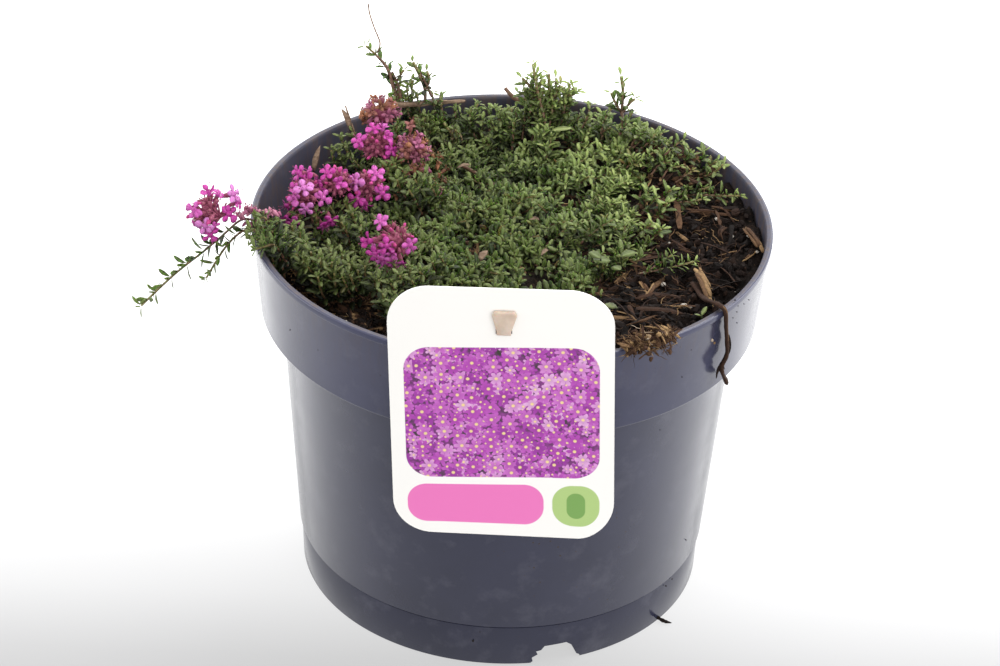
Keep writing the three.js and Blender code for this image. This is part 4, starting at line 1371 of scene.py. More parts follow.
sprigForm = {
    "seed": 29,
    # habits as leafyPiece takes them
    "habits": {
        "trails": (3.8, 1.3, 0.18, 0.35, 0.4, 0.5, 0.42),
        "standing": (2.7, 1.05, 0.18, 0.35, 0.25, 0.7, 0.6),
        "tips": (2.2, 0.98, 0.18, 0.35, 0.12, 0.9, 0.42),
        "tufts": (1.9, 1.2, 0.18, 0.35, 0.02, 0.9, 0.42),
        "runners": (2.3, 1.0, 0.18, 0.35, 0.02, 0.8, 0.4),
    },
    "trails": [
        [(-85.5, -15, 134), (-87.5, -15, 142), (-92, -14, 148.2), (-97.5, -12, 148), (-105, -11, 140),
         (-112, -11, 133), (-122, -15, 125.5), (-133, -25, 118)],
        [(-81, -24.6, 132), (-82.5, -24.6, 139), (-85.5, -24.4, 145.5), (-89.5, -23, 148.8),
         (-95.5, -20.5, 148.8), (-101.5, -18.5, 142), (-106, -17.5, 134), (-110, -17, 126)],
    ],
    # stems that stand up at the back: pixels of the photograph, and the depth along Y at foot and tip
    "standing": [
        ([(403, 108), (396, 92), (391, 80), (386, 67), (376, 55), (366, 46)], 82, 93),
        ([(394, 90), (398, 79), (404, 70)], 86, 88),
        ([(425, 104), (425, 90), (420, 76), (413, 62)], 82, 88),
        ([(424, 92), (429, 81), (427, 71)], 85, 87),
        ([(549, 150), (546, 128), (541, 105), (536, 84), (533, 64)], 64, 80),
        ([(547, 128), (549, 100), (549, 74)], 72, 80),
        ([(544, 115), (553, 98), (560, 85)], 74, 79),
        ([(545, 120), (560, 104), (577, 92)], 74, 80),
        ([(541, 107), (528, 96), (519, 92)], 74, 79),
        ([(539, 98), (528, 84), (522, 78)], 76, 79),
        ([(623, 128), (622, 110), (623, 92), (621, 76)], 66, 74),
        ([(622, 114), (629, 104), (635, 99)], 69, 71),
        ([(622, 114), (615, 102), (611, 93)], 69, 72),
    ],
    "tips": [
        (399, 84, 85), (407, 88, 84), (412, 80, 85), (394, 95, 82), (417, 94, 83), (432, 93, 84),
        (440, 96, 83), (405, 97, 82), (541, 80, 78), (557, 86, 79), (566, 94, 77), (573, 88, 79),
        (550, 92, 78), (534, 88, 78), (526, 100, 77), (524, 88, 78), (531, 80, 79), (543, 87, 78),
        (548, 83, 79), (556, 78, 79), (564, 90, 78), (570, 84, 79), (537, 74, 79), (560, 100, 76),
        (545, 96, 77), (553, 103, 74), (590, 105, 76), (612, 108, 72), (632, 113, 68), (646, 129, 62),
        (655, 134, 59), (662, 133, 60), (683, 140, 52), (478, 104, 82), (488, 110, 80), (455, 108, 82),
        (470, 112, 79), (516, 108, 77), (340, 137, 56), (331, 150, 50), (354, 160, 47), (345, 146, 52),
        (352, 132, 58), (338, 152, 50),
    ],
    # short shoots along the back wall: their first angle and the angle they fill, nearest and farthest
    "backRow": {"count": 46, "first": 22, "turn": 122, "near": 70, "far": 84},
    # how far out the shoots over the rim start and pass their highest point, and its level
    "overRim": (85, 90, 148.6),
    # pixels of the tufts at the left rim and the height of each tip
    "leftTips": [
        (262, 226, 150), (268, 233, 149), (270, 217, 149), (277, 223, 148), (284, 236, 147),
        (273, 246, 147), (292, 226, 147), (300, 232, 146), (290, 246, 145), (296, 254, 144),
        (306, 244, 145), (303, 260, 143), (320, 258, 144), (332, 262, 143), (342, 254, 143),
        (311, 252, 144), (330, 248, 144), (383, 294, 140), (391, 284, 140), (379, 280, 141),
        (365, 266, 142), (349, 264, 143), (400, 276, 143), (410, 268, 144), (420, 272, 143),
        (432, 262, 144), (440, 256, 144), (395, 264, 143), (412, 281, 142), (302, 263, 141.5),
        (313, 260, 141.5), (325, 263, 141.5), (338, 267, 141), (352, 264, 141.5), (318, 277, 140.5),
        (326, 271, 141), (342, 277, 140.5), (350, 275, 141), (334, 273, 140.5), (308, 267, 141),
        (358, 270, 141), (385, 299, 139.5), (392, 303, 139.5), (395, 291, 140), (374, 276, 141.5),
    ],
    # pixels of single shoots that stand higher than the mat around them, and the height of each tip
    "tufts": [
        (395, 163, 147), (405, 171, 146), (415, 180, 145), (397, 180, 145), (425, 174, 146),
        (431, 186, 144), (409, 190, 144), (330, 206, 143), (345, 204, 143), (352, 213, 143),
        (316, 213, 142), (341, 222, 143), (299, 214, 141), (361, 225, 143), (540, 118, 150),
        (546, 128, 149), (538, 132, 148), (551, 138, 147), (544, 108, 152), (535, 112, 151),
        (676, 157, 146), (690, 156, 147), (703, 152, 148), (663, 155, 146), (650, 158, 146),
        (640, 162, 146), (632, 158, 147), (397, 122, 149), (388, 168, 146), (546, 147, 146),
        (651, 224, 143), (661, 229, 142.5), (671, 190, 144.5), (667, 203, 144), (656, 198, 144.5),
        (648, 192, 145),
    ],
    # tufts that come over the left rim
    "rimTips": [
        (252, 230, 151.5), (256, 240, 150.5), (259, 219, 151.5), (256, 249, 149.5), (263, 247, 150),
        (250, 238, 150),
    ],
    "runners": {
        "runner_right_back": [[(60, 31, 140), (67, 30, 141.5), (75, 29, 142), (84, 27, 143.5)],
                              [(58, 27, 140), (64, 25, 141), (70, 25, 142.5)]],
        "runner_right_front": [[(46, -24, 139), (53, -22.5, 140), (59, -20.5, 140.5), (66, -19, 142)],
                               [(50, -22, 139.5), (54, -18, 140.5), (58, -15, 142)]],
        "runner_right_rim": [[(66, 44, 140), (70, 43, 141.5), (74.5, 40.5, 145), (78, 38.5, 150)],
                             [(66, 46, 141), (72, 47, 143.5), (76, 46, 147)]],
    },
}


# A path through pixels of the photograph, its depth running from near to far
def pixelPath(pixels, near, far, steps):
    count = len(pixels) - 1
    dots = [pixelAtDepth(x, y, near + (far - near) * k / count) for k, (x, y) in enumerate(pixels)]
    return smoothPath(dots, steps)


# A strand that leaves a point and bends once on its way
def branch(foot, bend, tip, steps):
    return smoothPath([foot, foot + Vector(bend), foot + Vector(tip)], steps)


def taper(path, first, last):
    count = len(path) - 1
    return [first + (last - first) * k / count for k in range(len(path))]


# A shoot that rises out of the mat to a given tip
def standingPath(rng, tip, run):
    middle = Vector((*groundForm["matMiddle"], 0))
    inward = Vector((middle.x - tip.x, middle.y - tip.y, 0)).normalized()
    foot = tip + inward * run * rng.uniform(0.7, 1.3)
    foot.z = min(tip.z - 4, max(groundLevel(foot.x) + 1, matTop(foot.x, foot.y) - 3))
    drift = Vector((rng.gauss(0, 0.8), rng.gauss(0, 0.8), rng.uniform(0, 1.5)))
    knee = foot.lerp(tip, 0.5) + drift - inward * 0.8
    return smoothPath([foot, knee, tip], 4)


# A shoot from inside the pot that rests its tip on the rim
def overRimPath(tip):
    start, edge, level = sprigForm["overRim"]
    far = hypot(tip.x, tip.y)
    foot = Vector((tip.x * start / far, tip.y * start / far, tip.z - 9))
    crest = Vector((tip.x * edge / far, tip.y * edge / far, max(tip.z, level)))
    return smoothPath([foot, crest, tip], 5)


def backRowPaths(rng):
    f = sprigForm["backRow"]
    paths = []
    for k in range(f["count"]):
        a = radians(f["first"] + f["turn"] * (k + rng.random()) / f["count"])
        x, y = onCircle(rng.uniform(f["near"], f["far"]), a)
        tip = Vector((x, y, matTop(x, y) + rng.uniform(-1, 3) - 4.5 * smoothStep(x, -5, 40)))
        paths.append(standingPath(rng, tip, 8))
    return paths


def makeSprigs():
    f = sprigForm

    def sprig(name, paths, habit, seed, node="thyme_mat"):
        strands = [(path, taper(path, 1.0, 0.5)) for path in paths]
        leafyPiece(name, strands, f["habits"][habit], seed, node)

    rng = Random(f["seed"])
    sprig("trailing_stems", [smoothPath(p, 5) for p in f["trails"]], "trails", 51)
    sprig("standing_stems", [pixelPath(*stem, 5) for stem in f["standing"]], "standing", 55)
    shoots = [standingPath(rng, pixelAtDepth(*tip), 7) for tip in f["tips"]]
    sprig("back_shoots", shoots + backRowPaths(rng), "tips", 57)
    shoots = [standingPath(rng, pixelAtHeight(*tip), 5) for tip in f["leftTips"]]
    shoots += [overRimPath(pixelAtHeight(*tip)) for tip in f["rimTips"]]
    shoots += [standingPath(rng, pixelAtHeight(*tip), 5) for tip in f["tufts"]]
    sprig("single_shoots", shoots, "tufts", 59)
    for k, (node, paths) in enumerate(f["runners"].items()):
        sprig(node + "_leafy", [smoothPath(p, 5) for p in paths], "runners", 63 + k, node)


makeSprigs()
print("sprigs set")


# Flower heads

flowerForm = {
    "seed": 41,
    "shapeSeed": 17,
    # distances from a head's middle to its open florets, its calyxes and the florets at its back
    "reach": 7.4,
    "calyxReach": 5.6,
    "hiddenReach": 6.4,
    "calyxes": 28,
    "hidden": 3,
    "lightPull": 0.9,
    # how far a floret's mouth stands in front of its middle, and the least distance between two
    "mouth": 1.6,
    "gap": 2.5,
    # bracts left of a pixel hang near a point of the plant and don't lie on the mat
    "bractSeats": [(300, (-88, -12, 150)), (375, (-56, 64, 149))],
    # pixels of the photograph where spent, dry calyxes lie on the mat
    "bracts": [
        (363, 112), (371, 121), (366, 118), (397, 158), (403, 151), (415, 157), (424, 151), (432, 156),
        (438, 166), (421, 170), (410, 178), (392, 166), (401, 186), (429, 180), (437, 190), (416, 122),
        (420, 165), (407, 168), (412, 190), (425, 196), (445, 178), (398, 140), (417, 146), (404, 196),
        (262, 243), (268, 238), (246, 214), (256, 212), (262, 217), (250, 222), (241, 213), (252, 207),
        (270, 213), (262, 230), (259, 227),
    ],
}
# middle, the way it faces, size, and the pixels of the photograph where its open florets are seen
flowerHeads = {
    "flower_head_rim": ((-109, -15, 152.5), (-1, 0.2, 0.35), 1.05,
                        [(209, 192), (233, 194), (194, 210), (205, 226), (210, 235), (229, 214)]),
    "flower_head_left_low": ((-76, 9, 147), (-0.35, -0.2, 1), 1.05,
                             [(293, 222), (306, 209), (330, 221), (295, 197), (304, 188), (323, 198)]),
    "flower_head_left_high": ((-64.5, 15, 148.5), (0, -0.2, 1), 0.95,
                              [(298, 172), (327, 173), (320, 190), (339, 183), (306, 181)]),
    "flower_head_centre_left": ((-52.5, 17, 147.5), (0.1, -0.3, 1), 0.9,
                                [(357, 199), (382, 193), (356, 182), (376, 174)]),
    "flower_head_back_left": ((-51.5, 43, 149.5), (-0.2, -0.2, 1), 0.95,
                              [(359, 141), (391, 149), (374, 128), (387, 137)]),
    "flower_head_front": ((-41.5, -23, 148), (0, -0.4, 1), 1.1,
                          [(381, 222), (369, 241), (410, 245), (382, 258), (394, 263), (387, 246),
                           (375, 254)]),
}
fadedHeads = {
    "faded_head_back": ((-51, 62, 153.5), (-0.1, 0, 1), 1.1, [(381, 106), (371, 112), (388, 116)]),
    "faded_head_mid": ((-38, 42, 149), (0.2, -0.2, 1), 0.95, [(405, 150), (410, 124)]),
}


def blossomFinish():
    finish, tree, shader = newFinish("thymeBlossom", Roughness=0.6, Specular_IOR_Level=0.3)
    place = objectPlace(tree)
    part = reading(tree, "part")
    shade = reading(tree, "tone")
    rib = reading(tree, "rib")
    fine = noiseAt(place, 1400, 3, 0.6)
    petal = ramped(shade, {
        0.0: (184, 50, 146), 0.45: (196, 72, 164), 0.85: (202, 98, 178),
        1.0: (210, 134, 200),
    })
    petal = mixed(spanned(rib, 0.0, 0.5, 0.35, 0.0), petal, tone(160, 30, 124))
    petal = mixed(spanned(fine, 0.5, 0.75, 0.0, 0.4), petal, tone(232, 170, 226))
    calyx = ramped(fine, {0.3: (116, 48, 74), 0.55: (158, 82, 108), 0.75: (134, 108, 84)})
    bud = ramped(shade, {0.0: (156, 44, 100), 1.0: (196, 72, 140)})
    tired = ramped(shade, {
        0.0: (96, 62, 46), 0.34: (168, 114, 82), 0.55: (128, 74, 86), 0.8: (170, 96, 130),
        1.0: (198, 138, 156),
    })
    colour = mixed(spanned(part, 0.2, 0.3), calyx, bud)
    colour = mixed(spanned(part, 0.45, 0.55), colour, petal)
    colour = mixed(spanned(part, 0.85, 0.95), colour, tired)
    feed(shader, "Base Color", colour)
    bumped(shader, fine, 0.3, 0.2)
    return finish


# Flower parts: 0 calyx, 1 bud, 2 to 4 open florets, 5 withered floret, 6 open calyx. part tells the finish
# which is which: 0 calyx, 0.4 bud, 0.7 petal, 1 withered.
def flowerShapes():
    collection = shapeCollection("flowerShapes")
    rng = Random(flowerForm["shapeSeed"])

    def calyx(part, teeth=1.3, wide=0.95):
        shape = emptyShape()
        stem = [(0, 0, -3.6), (0, 0, -2.4), (0, 0, -0.9), (0, 0, 0)]
        addTube(shape, stem, [0.35, 0.75, wide, wide * 0.9], 6, part=part)
        for k in range(5):
            turn = swing(k * 2 * pi / 5, "Z") @ Matrix.Translation((wide * 0.8, 0, -0.3))
            turn = turn @ swing(-1.15, "Y")
            addBlade(shape, turn, teeth, 0.8, 1, 0.4, 0, 0.1, 0.1, 0.1, part=part)
        return shape

    makeObject("a0", calyx(0.0), collection=collection)
    shape = calyx(0.0)
    addLump(shape, (0, 0, 1.0), (0.72, 0.72, 1.3), 3, sides=7, rings=5, uneven=0.2, part=0.4)
    makeObject("b0", shape, collection=collection)
    # lobes as an angle, a length, a width and how far the lobe still stands up
    florets = [
        [(90, 2.9, 2.6, -0.1), (62, 2.6, 1.9, 0.1), (-4, 2.7, 2.3, -0.1), (184, 2.7, 2.3, 0.0),
         (-90, 3.2, 2.9, -0.2)],
        [(90, 2.7, 2.4, 0.1), (14, 2.6, 2.1, -0.2), (168, 2.5, 2.1, 0.1), (-50, 2.9, 2.2, -0.1),
         (-128, 2.8, 2.2, 0.0)],
        [(80, 2.6, 2.2, 0.8), (5, 2.4, 2.0, 0.6), (190, 2.5, 2.0, 0.7), (-92, 2.9, 2.5, 0.3)],
    ]
    for variant, lobes in enumerate(florets):
        shape = calyx(0.0)
        addTube(shape, [(0, 0, -1), (0, 0, 0.6), (0, 0, 1.7)], [0.5, 0.75, 1.05], 7, part=0.7)
        for angle, length, width, raised in lobes:
            turn = swing(radians(angle), "Z") @ Matrix.Translation((0.4, 0, 1.5))
            turn = turn @ swing(-0.2 - raised, "Y")
            turn = turn @ swing(rng.uniform(-0.35, 0.35), "X")
            addBlade(shape, turn, length, width, 3, 0.62, 0.12, rng.uniform(0.05, 0.5),
                     rng.uniform(-0.3, 0.25), 0.05, part=0.7)
        for k in range(4):
            a = radians(45 + 90 * k + rng.uniform(-20, 20))
            out = Vector((cos(a), sin(a), 0))
            path = [Vector((0, 0, 0.8)), out * 0.8 + Vector((0, 0, 2.6)), out * 1.7 + Vector((0, 0, 4.1))]
            addTube(shape, path, [0.09, 0.08, 0.07], 3, part=0.7)
            addLump(shape, path[-1], (0.24, 0.24, 0.18), k, sides=4, rings=3, uneven=0.1, part=0.0)
        makeObject(f"c{variant}", shape, collection=collection)
    shape = calyx(1.0, 1.5)
    for k in range(4):
        turn = swing(k * 1.57 + 0.4, "Z") @ Matrix.Translation((0.3, 0, 0.1))
        turn = turn @ swing(rng.uniform(-1.3, -0.6), "Y")
        addBlade(shape, turn, 2.4, 1.5, 2, 0.6, 0.1, 0.5, 0.5, 0.08, part=1.0)
    makeObject("d0", shape, collection=collection)
    makeObject("e0", calyx(1.0, 1.9, 1.05), collection=collection)
    return collection


# Directions spread evenly over a ball, down to a lowest one
def evenWays(count, lowest, seed):
    goldenAngle = 2.39996
    ways = []
    for k in range(count):
        z = 1 - (k + 0.5) / count * (1 - lowest)
        ways.append(Vector((*onCircle(sqrt(1 - z * z), k * goldenAngle + seed), z)))
    return ways


# A turn that faces a way, spun by chance
def spun(rng, way):
    return turnTo(way, rng.uniform(0, 6.3))


# A chance step with a spread along each axis, none where it is 0
def wobble(rng, *spreads):
    return Vector([rng.gauss(0, spread) if spread else 0.0 for spread in spreads])


def headSpots(rng, middle, lean, size, pixels, faded):
    f = flowerForm
    middle = Vector(middle)
    turn = Vector(lean).normalized().to_track_quat("Z", "Y")
    back = cameraAxes()[2]
    spots = []
    placed = []
    for x, y in pixels:
        flat = nearPixel(x, y, middle) - middle
        reach = f["reach"] * size
        depth = sqrt(max(reach * reach - flat.length_squared, 9.0))
        mouth = nearPixel(x, y, middle, depth * 0.8)
        way = (mouth - middle).normalized()
        placed.append(mouth)
        # the open florets turn towards the light
        face = (way + back * f["lightPull"] + wobble(rng, 0.2, 0.2, 0.2)).normalized()
        kind = 5 if faded else 2 + rng.choice([0, 0, 1, 1, 2])
        spots.append(spotAt(mouth - face * f["mouth"], kind, spun(rng, face), 1.08, rng.random()))
        # a second floret half behind the first
        side = mouth + (mouth - middle).cross(back).normalized() * rng.choice([-3.4, 3.4]) - back * 1.5
        if not faded and rng.random() < 0.4 and min((side - other).length for other in placed) > 2.8:
            placed.append(side)
            face = ((side - middle).normalized() + back * 0.4).normalized()
            spots.append(spotAt(place=side - face * 1.8, turn=spun(rng, face), kind=3 + rng.randrange(2),
                                stretch=0.85, shade=rng.random() * 0.8))
    for k, way in enumerate(evenWays(f["calyxes"], -0.35, rng.uniform(0, 6))):
        out = turn @ way
        mouth = middle + out * f["calyxReach"] * size * rng.uniform(0.9, 1.08)
        if min((mouth - other).length for other in placed) < f["gap"]:
            continue
        kind = rng.choice([5, 6, 6]) if faded else (1 if k % 3 == 0 else 0)
        out = (out + wobble(rng, 0.25, 0.25, 0.25)).normalized()
        spots.append(spotAt(mouth, kind, spun(rng, out), rng.uniform(0.7, 1.05),
                            rng.uniform(0.3, 1.0) if faded else rng.random()))
    for _ in range(f["hidden"]):
        out = turn @ Vector((rng.gauss(0, 0.8), rng.gauss(0, 0.8), 0.3))
        out = (out - back * f["lightPull"]).normalized()
        place = middle + out * f["hiddenReach"] * size
        spots.append(spotAt(place, 5 if faded else 2, spun(rng, out), 1, rng.random()))
    return spots


# Dry calyxes lie on the mat, and hang at the far left on the faded head and the trailing stems
def bractPlace(x, y):
    for edge, near in flowerForm["bractSeats"]:
        if x < edge:
            return nearPixel(x, y, near)
    return pixelOnTop(x, y, 1.5)


def makeHeads(finish):
    rng = Random(flowerForm["seed"])
    shapes = flowerShapes()
    for faded, group in ((False, flowerHeads), (True, fadedHeads)):
        for k, (node, (middle, lean, size, pixels)) in enumerate(group.items()):
            spots = headSpots(rng, middle, lean, size, pixels, faded)
            head = strewn(node + "_florets", spots, shapes, finish, k)
            shape = emptyShape()
            foot = Vector(middle) - Vector(lean).normalized() * 4.3 * size
            for spot in spots:
                seat = Vector(spot["place"]).lerp(foot, 0.35)
                addTube(shape, [foot, (foot + seat) / 2, seat], [0.5, 0.4, 0.3], 4, part=0.0)
            addLump(shape, middle, (2.5 * size, 2.5 * size, 3.0 * size), k, 9, 7, 0.5, part=0.0)
            joinInto(head, makeObject("headCore", shape, finish))
            settle(head, "faded_flower" if faded else "petal", node)
    bracts = []
    for x, y in flowerForm["bracts"]:
        place = bractPlace(x, y)
        way = (Vector((rng.gauss(0, 0.5), rng.gauss(0, 0.5), 1.0))).normalized()
        for _ in range(3):
            spot = place + wobble(rng, 1.3, 1.3, 0.6)
            turned = (way + wobble(rng, 0.5, 0.5, 0)).normalized()
            # pinker on the stems at the rim
            atRim = x < flowerForm["bractSeats"][0][0]
            dryness = rng.uniform(0.6, 1.0) if atRim else rng.random() ** 1.5 * 0.75
            bracts.append(spotAt(place=spot, turn=spun(rng, turned), kind=rng.choice([5, 6, 6]),
                                 stretch=rng.uniform(0.6, 0.95), shade=dryness))
    settle(strewn("dry_bracts", bracts, shapes, finish, 12), "faded_flower")
    dropCollection(shapes)


def joinInto(piece, extra):
    bpy.ops.object.select_all(action="DESELECT")
    extra.select_set(True)
    piece.select_set(True)
    bpy.context.view_layer.objects.active = piece
    bpy.ops.object.join()


makeHeads(blossomFinish())
print("flowers open")
dropCollection(leafSet)


# Label and peg

labelForm = {
    "width": 77.1,
    "height": 101.5,
    "corner": 14.0,
    "cornerSteps": 12,
    "rings": 14,
    "thick": 0.5,
    "tilt": -2.6,
    "centre": (-1.0, -96.0, 125.2),
    "slotWidth": 5.6,
    "slotHeight": 2.6,
    "slotUp": 33.0,
    "slotAcross": 1.0,
    "bow": 0.9,
    "topDrop": 4.4,
    "cornerDrop": 3.2,
}


# the card's print in millimetres from its middle: left, right, low, high and corner of each field
printForm = {
    "picture": (-33.5, 33.5, -27.0, 26.5, 9.0),
    "fields": [
        ((-33.5, 14.0, -46.0, -30.0, 7.0), (236, 120, 190)),
        ((17.0, 33.5, -46.0, -30.0, 7.0), (176, 204, 128)),
        ((22.0, 28.5, -43.0, -33.0, 3.2), (120, 164, 84)),
    ],
    # how densely the flowers stand, their petals and their size
    "blooms": [(0.30, 5, 1.9), (0.24, 5, 2.3), (0.17, 6, 3.1)],
}


def cardOutline(width, height, corner, steps):
    outline = []
    for cx, cy, start in ((1, -1, -90), (1, 1, 0), (-1, 1, 90), (-1, -1, 180)):
        for k in range(steps + 1):
            x, y = onCircle(corner, radians(start + 90 * k / steps))
            outline.append((cx * (width / 2 - corner) + x, cy * (height / 2 - corner) + y))
    return outline


def labelFinish():
    finish, tree, shader = newFinish("printedCard", Roughness=0.32, Coat_Weight=0.25, Coat_Roughness=0.2)
    uv = put(tree, "ShaderNodeUVMap", uv_map="card").outputs["UV"]
    axes = put(tree, "ShaderNodeSeparateXYZ", {0: uv}).outputs
    u, v = axes["X"], axes["Y"]

    # 1 inside a box of the card with rounded corners, all in millimetres from the card's middle
    def patch(left, right, low, high, corner):
        beyond = []
        for axis, first, last in ((u, left, right), (v, low, high)):
            offset = sums("ABSOLUTE", sums("SUBTRACT", axis, (first + last) / 2))
            beyond.append(sums("SUBTRACT", offset, (last - first) / 2 - corner))
        beyond = [sums("MAXIMUM", part, 0.0) for part in beyond]
        squares = [times(part, part) for part in beyond]
        away = sums("SQRT", sums("ADD", *squares))
        return spanned(away, corner - 0.12, corner + 0.12, 1.0, 0.0)

    def blooms(scale, petals, size):
        cells = put(tree, "ShaderNodeTexVoronoi", {"Vector": uv, "Scale": scale, "Randomness": 0.75},
                    voronoi_dimensions="2D").outputs
        local = put(tree, "ShaderNodeVectorMath", {0: uv, 1: cells["Position"]},
                    operation="SUBTRACT").outputs[0]
        parts = put(tree, "ShaderNodeSeparateXYZ", {0: local}).outputs
        angle = sums("ARCTAN2", parts["Y"], parts["X"])
        length = put(tree, "ShaderNodeVectorMath", {0: local}, operation="LENGTH").outputs["Value"]
        wave = sums("ABSOLUTE", sums("COSINE", times(angle, petals / 2)))
        edge = sums("MULTIPLY_ADD", wave, size * 0.55, size * 0.45)
        flower = spanned(sums("SUBTRACT", edge, length), 0.0, size * 0.12)
        eye = spanned(length, size * 0.14, size * 0.24, 1.0, 0.0)
        return flower, eye, cells["Color"], length

    field = noiseAt(uv, 0.35, 4, 0.6)
    bed = ramped(field, {0.35: (46, 50, 34), 0.5: (112, 44, 110), 0.68: (150, 60, 150)})
    for scale, petals, size in printForm["blooms"]:
        flower, eye, shade, length = blooms(scale, petals, size)
        hue = put(tree, "ShaderNodeSeparateColor", {0: shade}).outputs[0]
        petal = ramped(hue, {0.0: (150, 48, 158), 0.35: (186, 74, 186),
                                   0.7: (212, 120, 208), 1.0: (236, 186, 230)})
        petal = mixed(spanned(length, 0.0, size, 0.45, 0.0), petal, tone(130, 26, 120))
        petal = mixed(eye, petal, tone(240, 214, 150))
        bed = mixed(flower, bed, petal)
    card = mixed(patch(*printForm["picture"]), tone(250, 248, 244), bed)
    for box, colour in printForm["fields"]:
        card = mixed(patch(*box), card, tone(*colour))
    fleck = noiseAt(uv, 6.0, 2)
    paper = mixed(spanned(fleck, 0.3, 0.8, 0.0, 0.05), card, tone(210, 205, 198))
    back = put(tree, "ShaderNodeAttribute", attribute_name="reverse").outputs["Fac"]
    feed(shader, "Base Color", mixed(back, paper, tone(240, 238, 233)))
    bumped(shader, noiseAt(uv, 1.2, 3), 0.05, 0.3)
    return finish


def makeLabel():
    f = labelForm
    outline = cardOutline(f["width"], f["height"], f["corner"], f["cornerSteps"])
    count = len(outline)
    rings = f["rings"]
    shape = emptyShape()
    points = []
    for side in (-1, 1):
        points.append((0, side * f["thick"] / 2, 0))
        for j in range(1, rings + 1):
            grow = j / rings
            points += [(x * grow, side * f["thick"] / 2, z * grow) for x, z in outline]
    half = 1 + rings * count
    faces = []
    for k in range(count):
        n = (k + 1) % count
        faces += [[0, 1 + k, 1 + n], [half, half + 1 + n, half + 1 + k]]
        for j in range(rings - 1):
            a = 1 + j * count
            faces.append([a + k, a + count + k, a + count + n, a + n])
            a += half
            faces.append([a + k, a + n, a + count + n, a + count + k])
        a = 1 + (rings - 1) * count
        faces.append([a + k, half + a + k, half + a + n, a + n])
    addTo(shape, points, faces)
    card = makeObject("plant_label", shape, labelFinish(), smooth=False)
    slotShape = emptyShape()
    w = f["slotWidth"] / 2
    h = f["slotHeight"] / 2
    cx = f["slotAcross"]
    cz = f["slotUp"]
    corners = ((-1, -1), (1, -1), (1, 1), (-1, 1))
    box = [(cx + sx * w, sy * 3, cz + sz * h) for sy in (-1, 1) for sx, sz in corners]
    sides = [[0, 1, 2, 3], [7, 6, 5, 4], [0, 4, 5, 1], [1, 5, 6, 2], [2, 6, 7, 3], [3, 7, 4, 0]]
    addTo(slotShape, box, sides)
    mesh = cutOut(card, slotShape)
    uv = mesh.uv_layers.new(name="card")
    for loop in mesh.loops:
        spot = mesh.vertices[loop.vertex_index].co
        uv.data[loop.index].uv = (spot.x / mm, spot.z / mm)
    reverse = mesh.attributes.new("reverse", "FLOAT", "FACE")
    reverse.data.foreach_set("value", [1.0 if face.normal.y > 0.5 else 0.0 for face in mesh.polygons])
    turn = Matrix.Translation(Vector(f["centre"]) * mm) @ swing(radians(f["tilt"]), "Y")
    for vertex in mesh.vertices:
        x = vertex.co.x / mm / (f["width"] / 2)
        z = vertex.co.z / mm / (f["height"] / 2)
        vertex.co.y += mm * f["bow"] * (x * x * 0.9 - 0.25 * z * abs(z) * 0.4)
        # the top edge falls away to the right, and the lower right corner hangs lower
        vertex.co.z -= mm * max(0.0, z) ** 2 * (f["topDrop"] * max(0.0, x) ** 1.8 + 0.9 * max(0.0, -x) ** 5)
        vertex.co.z -= mm * min(0.0, z) ** 2 * f["cornerDrop"] * smoothStep(x, 0.15, 0.8)
        vertex.co = turn @ vertex.co
    mesh.update()
    settle(card, "label_card", "label")


pegForm = {
    "width": 5.0,
    "thick": 1.4,
    "gap": 0.35,
    "stakeY": -77.5,
    "stakeFoot": 84.0,
    "tongueHeight": 8.6,
    "tongueTop": 8.6,
    "tipDrop": 1.4,
    "edge": 0.35,
}


def slotCentre():
    tilt = radians(labelForm["tilt"])
    x, _, z = labelForm["centre"]
    up = labelForm["slotUp"]
    across = labelForm["slotAcross"]
    x = x + sin(tilt) * up + cos(tilt) * across
    return x, z + cos(tilt) * up - sin(tilt) * across


def makePeg():
    f = pegForm
    x, armZ = slotCentre()
    w = f["width"] / 2
    t = f["thick"]
    # faces of the tongue and of the stake across Y, then the levels of the arm and the tongue's tip
    front = labelForm["centre"][1] - 2 * f["gap"] - t
    inner = front + t
    near = f["stakeY"] - t / 2
    far = f["stakeY"] + t / 2
    low = armZ - t / 2
    high = armZ + t / 2
    tip = armZ + f["tongueHeight"]
    profile = [
        (front, low), (inner, low), (near, low), (near, f["stakeFoot"]), (far, f["stakeFoot"]), (far, high),
        (inner, high), (inner, tip - f["tipDrop"]), (inner, tip), (front, tip), (front, tip - f["tipDrop"]),
        (front, high),
    ]
    count = len(profile)

    def halfWidth(z):
        share = (z - armZ) / f["tongueHeight"]
        if share < 0.1:
            return w
        flare = w + (f["tongueTop"] / 2 - w) * min(1.0, share / 0.8)
        return flare - (0.9 if share > 0.99 else 0)

    points = [(x + side * halfWidth(z), y, z) for side in (-1, 1) for y, z in profile]
    faces = [[k, (k + 1) % count, count + (k + 1) % count, count + k] for k in range(count)]
    # the two side faces as convex patches
    patches = [[0, 1, 6, 11], [1, 2, 5, 6], [2, 3, 4, 5], [11, 6, 7, 10], [10, 7, 8, 9]]
    for patch in patches:
        faces.append(list(reversed(patch)))
        faces.append([count + k for k in patch])
    shape = emptyShape()
    addTo(shape, points, faces)
    finish = grainFinish("pegPlastic", (240, 4, 0.6), {0.3: (194, 174, 156), 0.7: (214, 196, 180)},
                         (0.15, 0.2), Roughness=0.38, Subsurface_Weight=0.3, Subsurface_Scale=0.002)
    peg = makeObject("label_peg_moulding", shape, finish)
    recalculate(peg)
    edge = peg.modifiers.new("edges", "BEVEL")
    edge.width = f["edge"] * mm
    edge.segments = 2
    edge.limit_method = "ANGLE"
    settle(peg, "peg_plastic", "label_peg")


def recalculate(piece):
    work = bmesh.new()
    work.from_mesh(piece.data)
    bmesh.ops.remove_doubles(work, verts=work.verts, dist=1e-7)
    bmesh.ops.recalc_face_normals(work, faces=work.faces)
    work.to_mesh(piece.data)
    work.free()


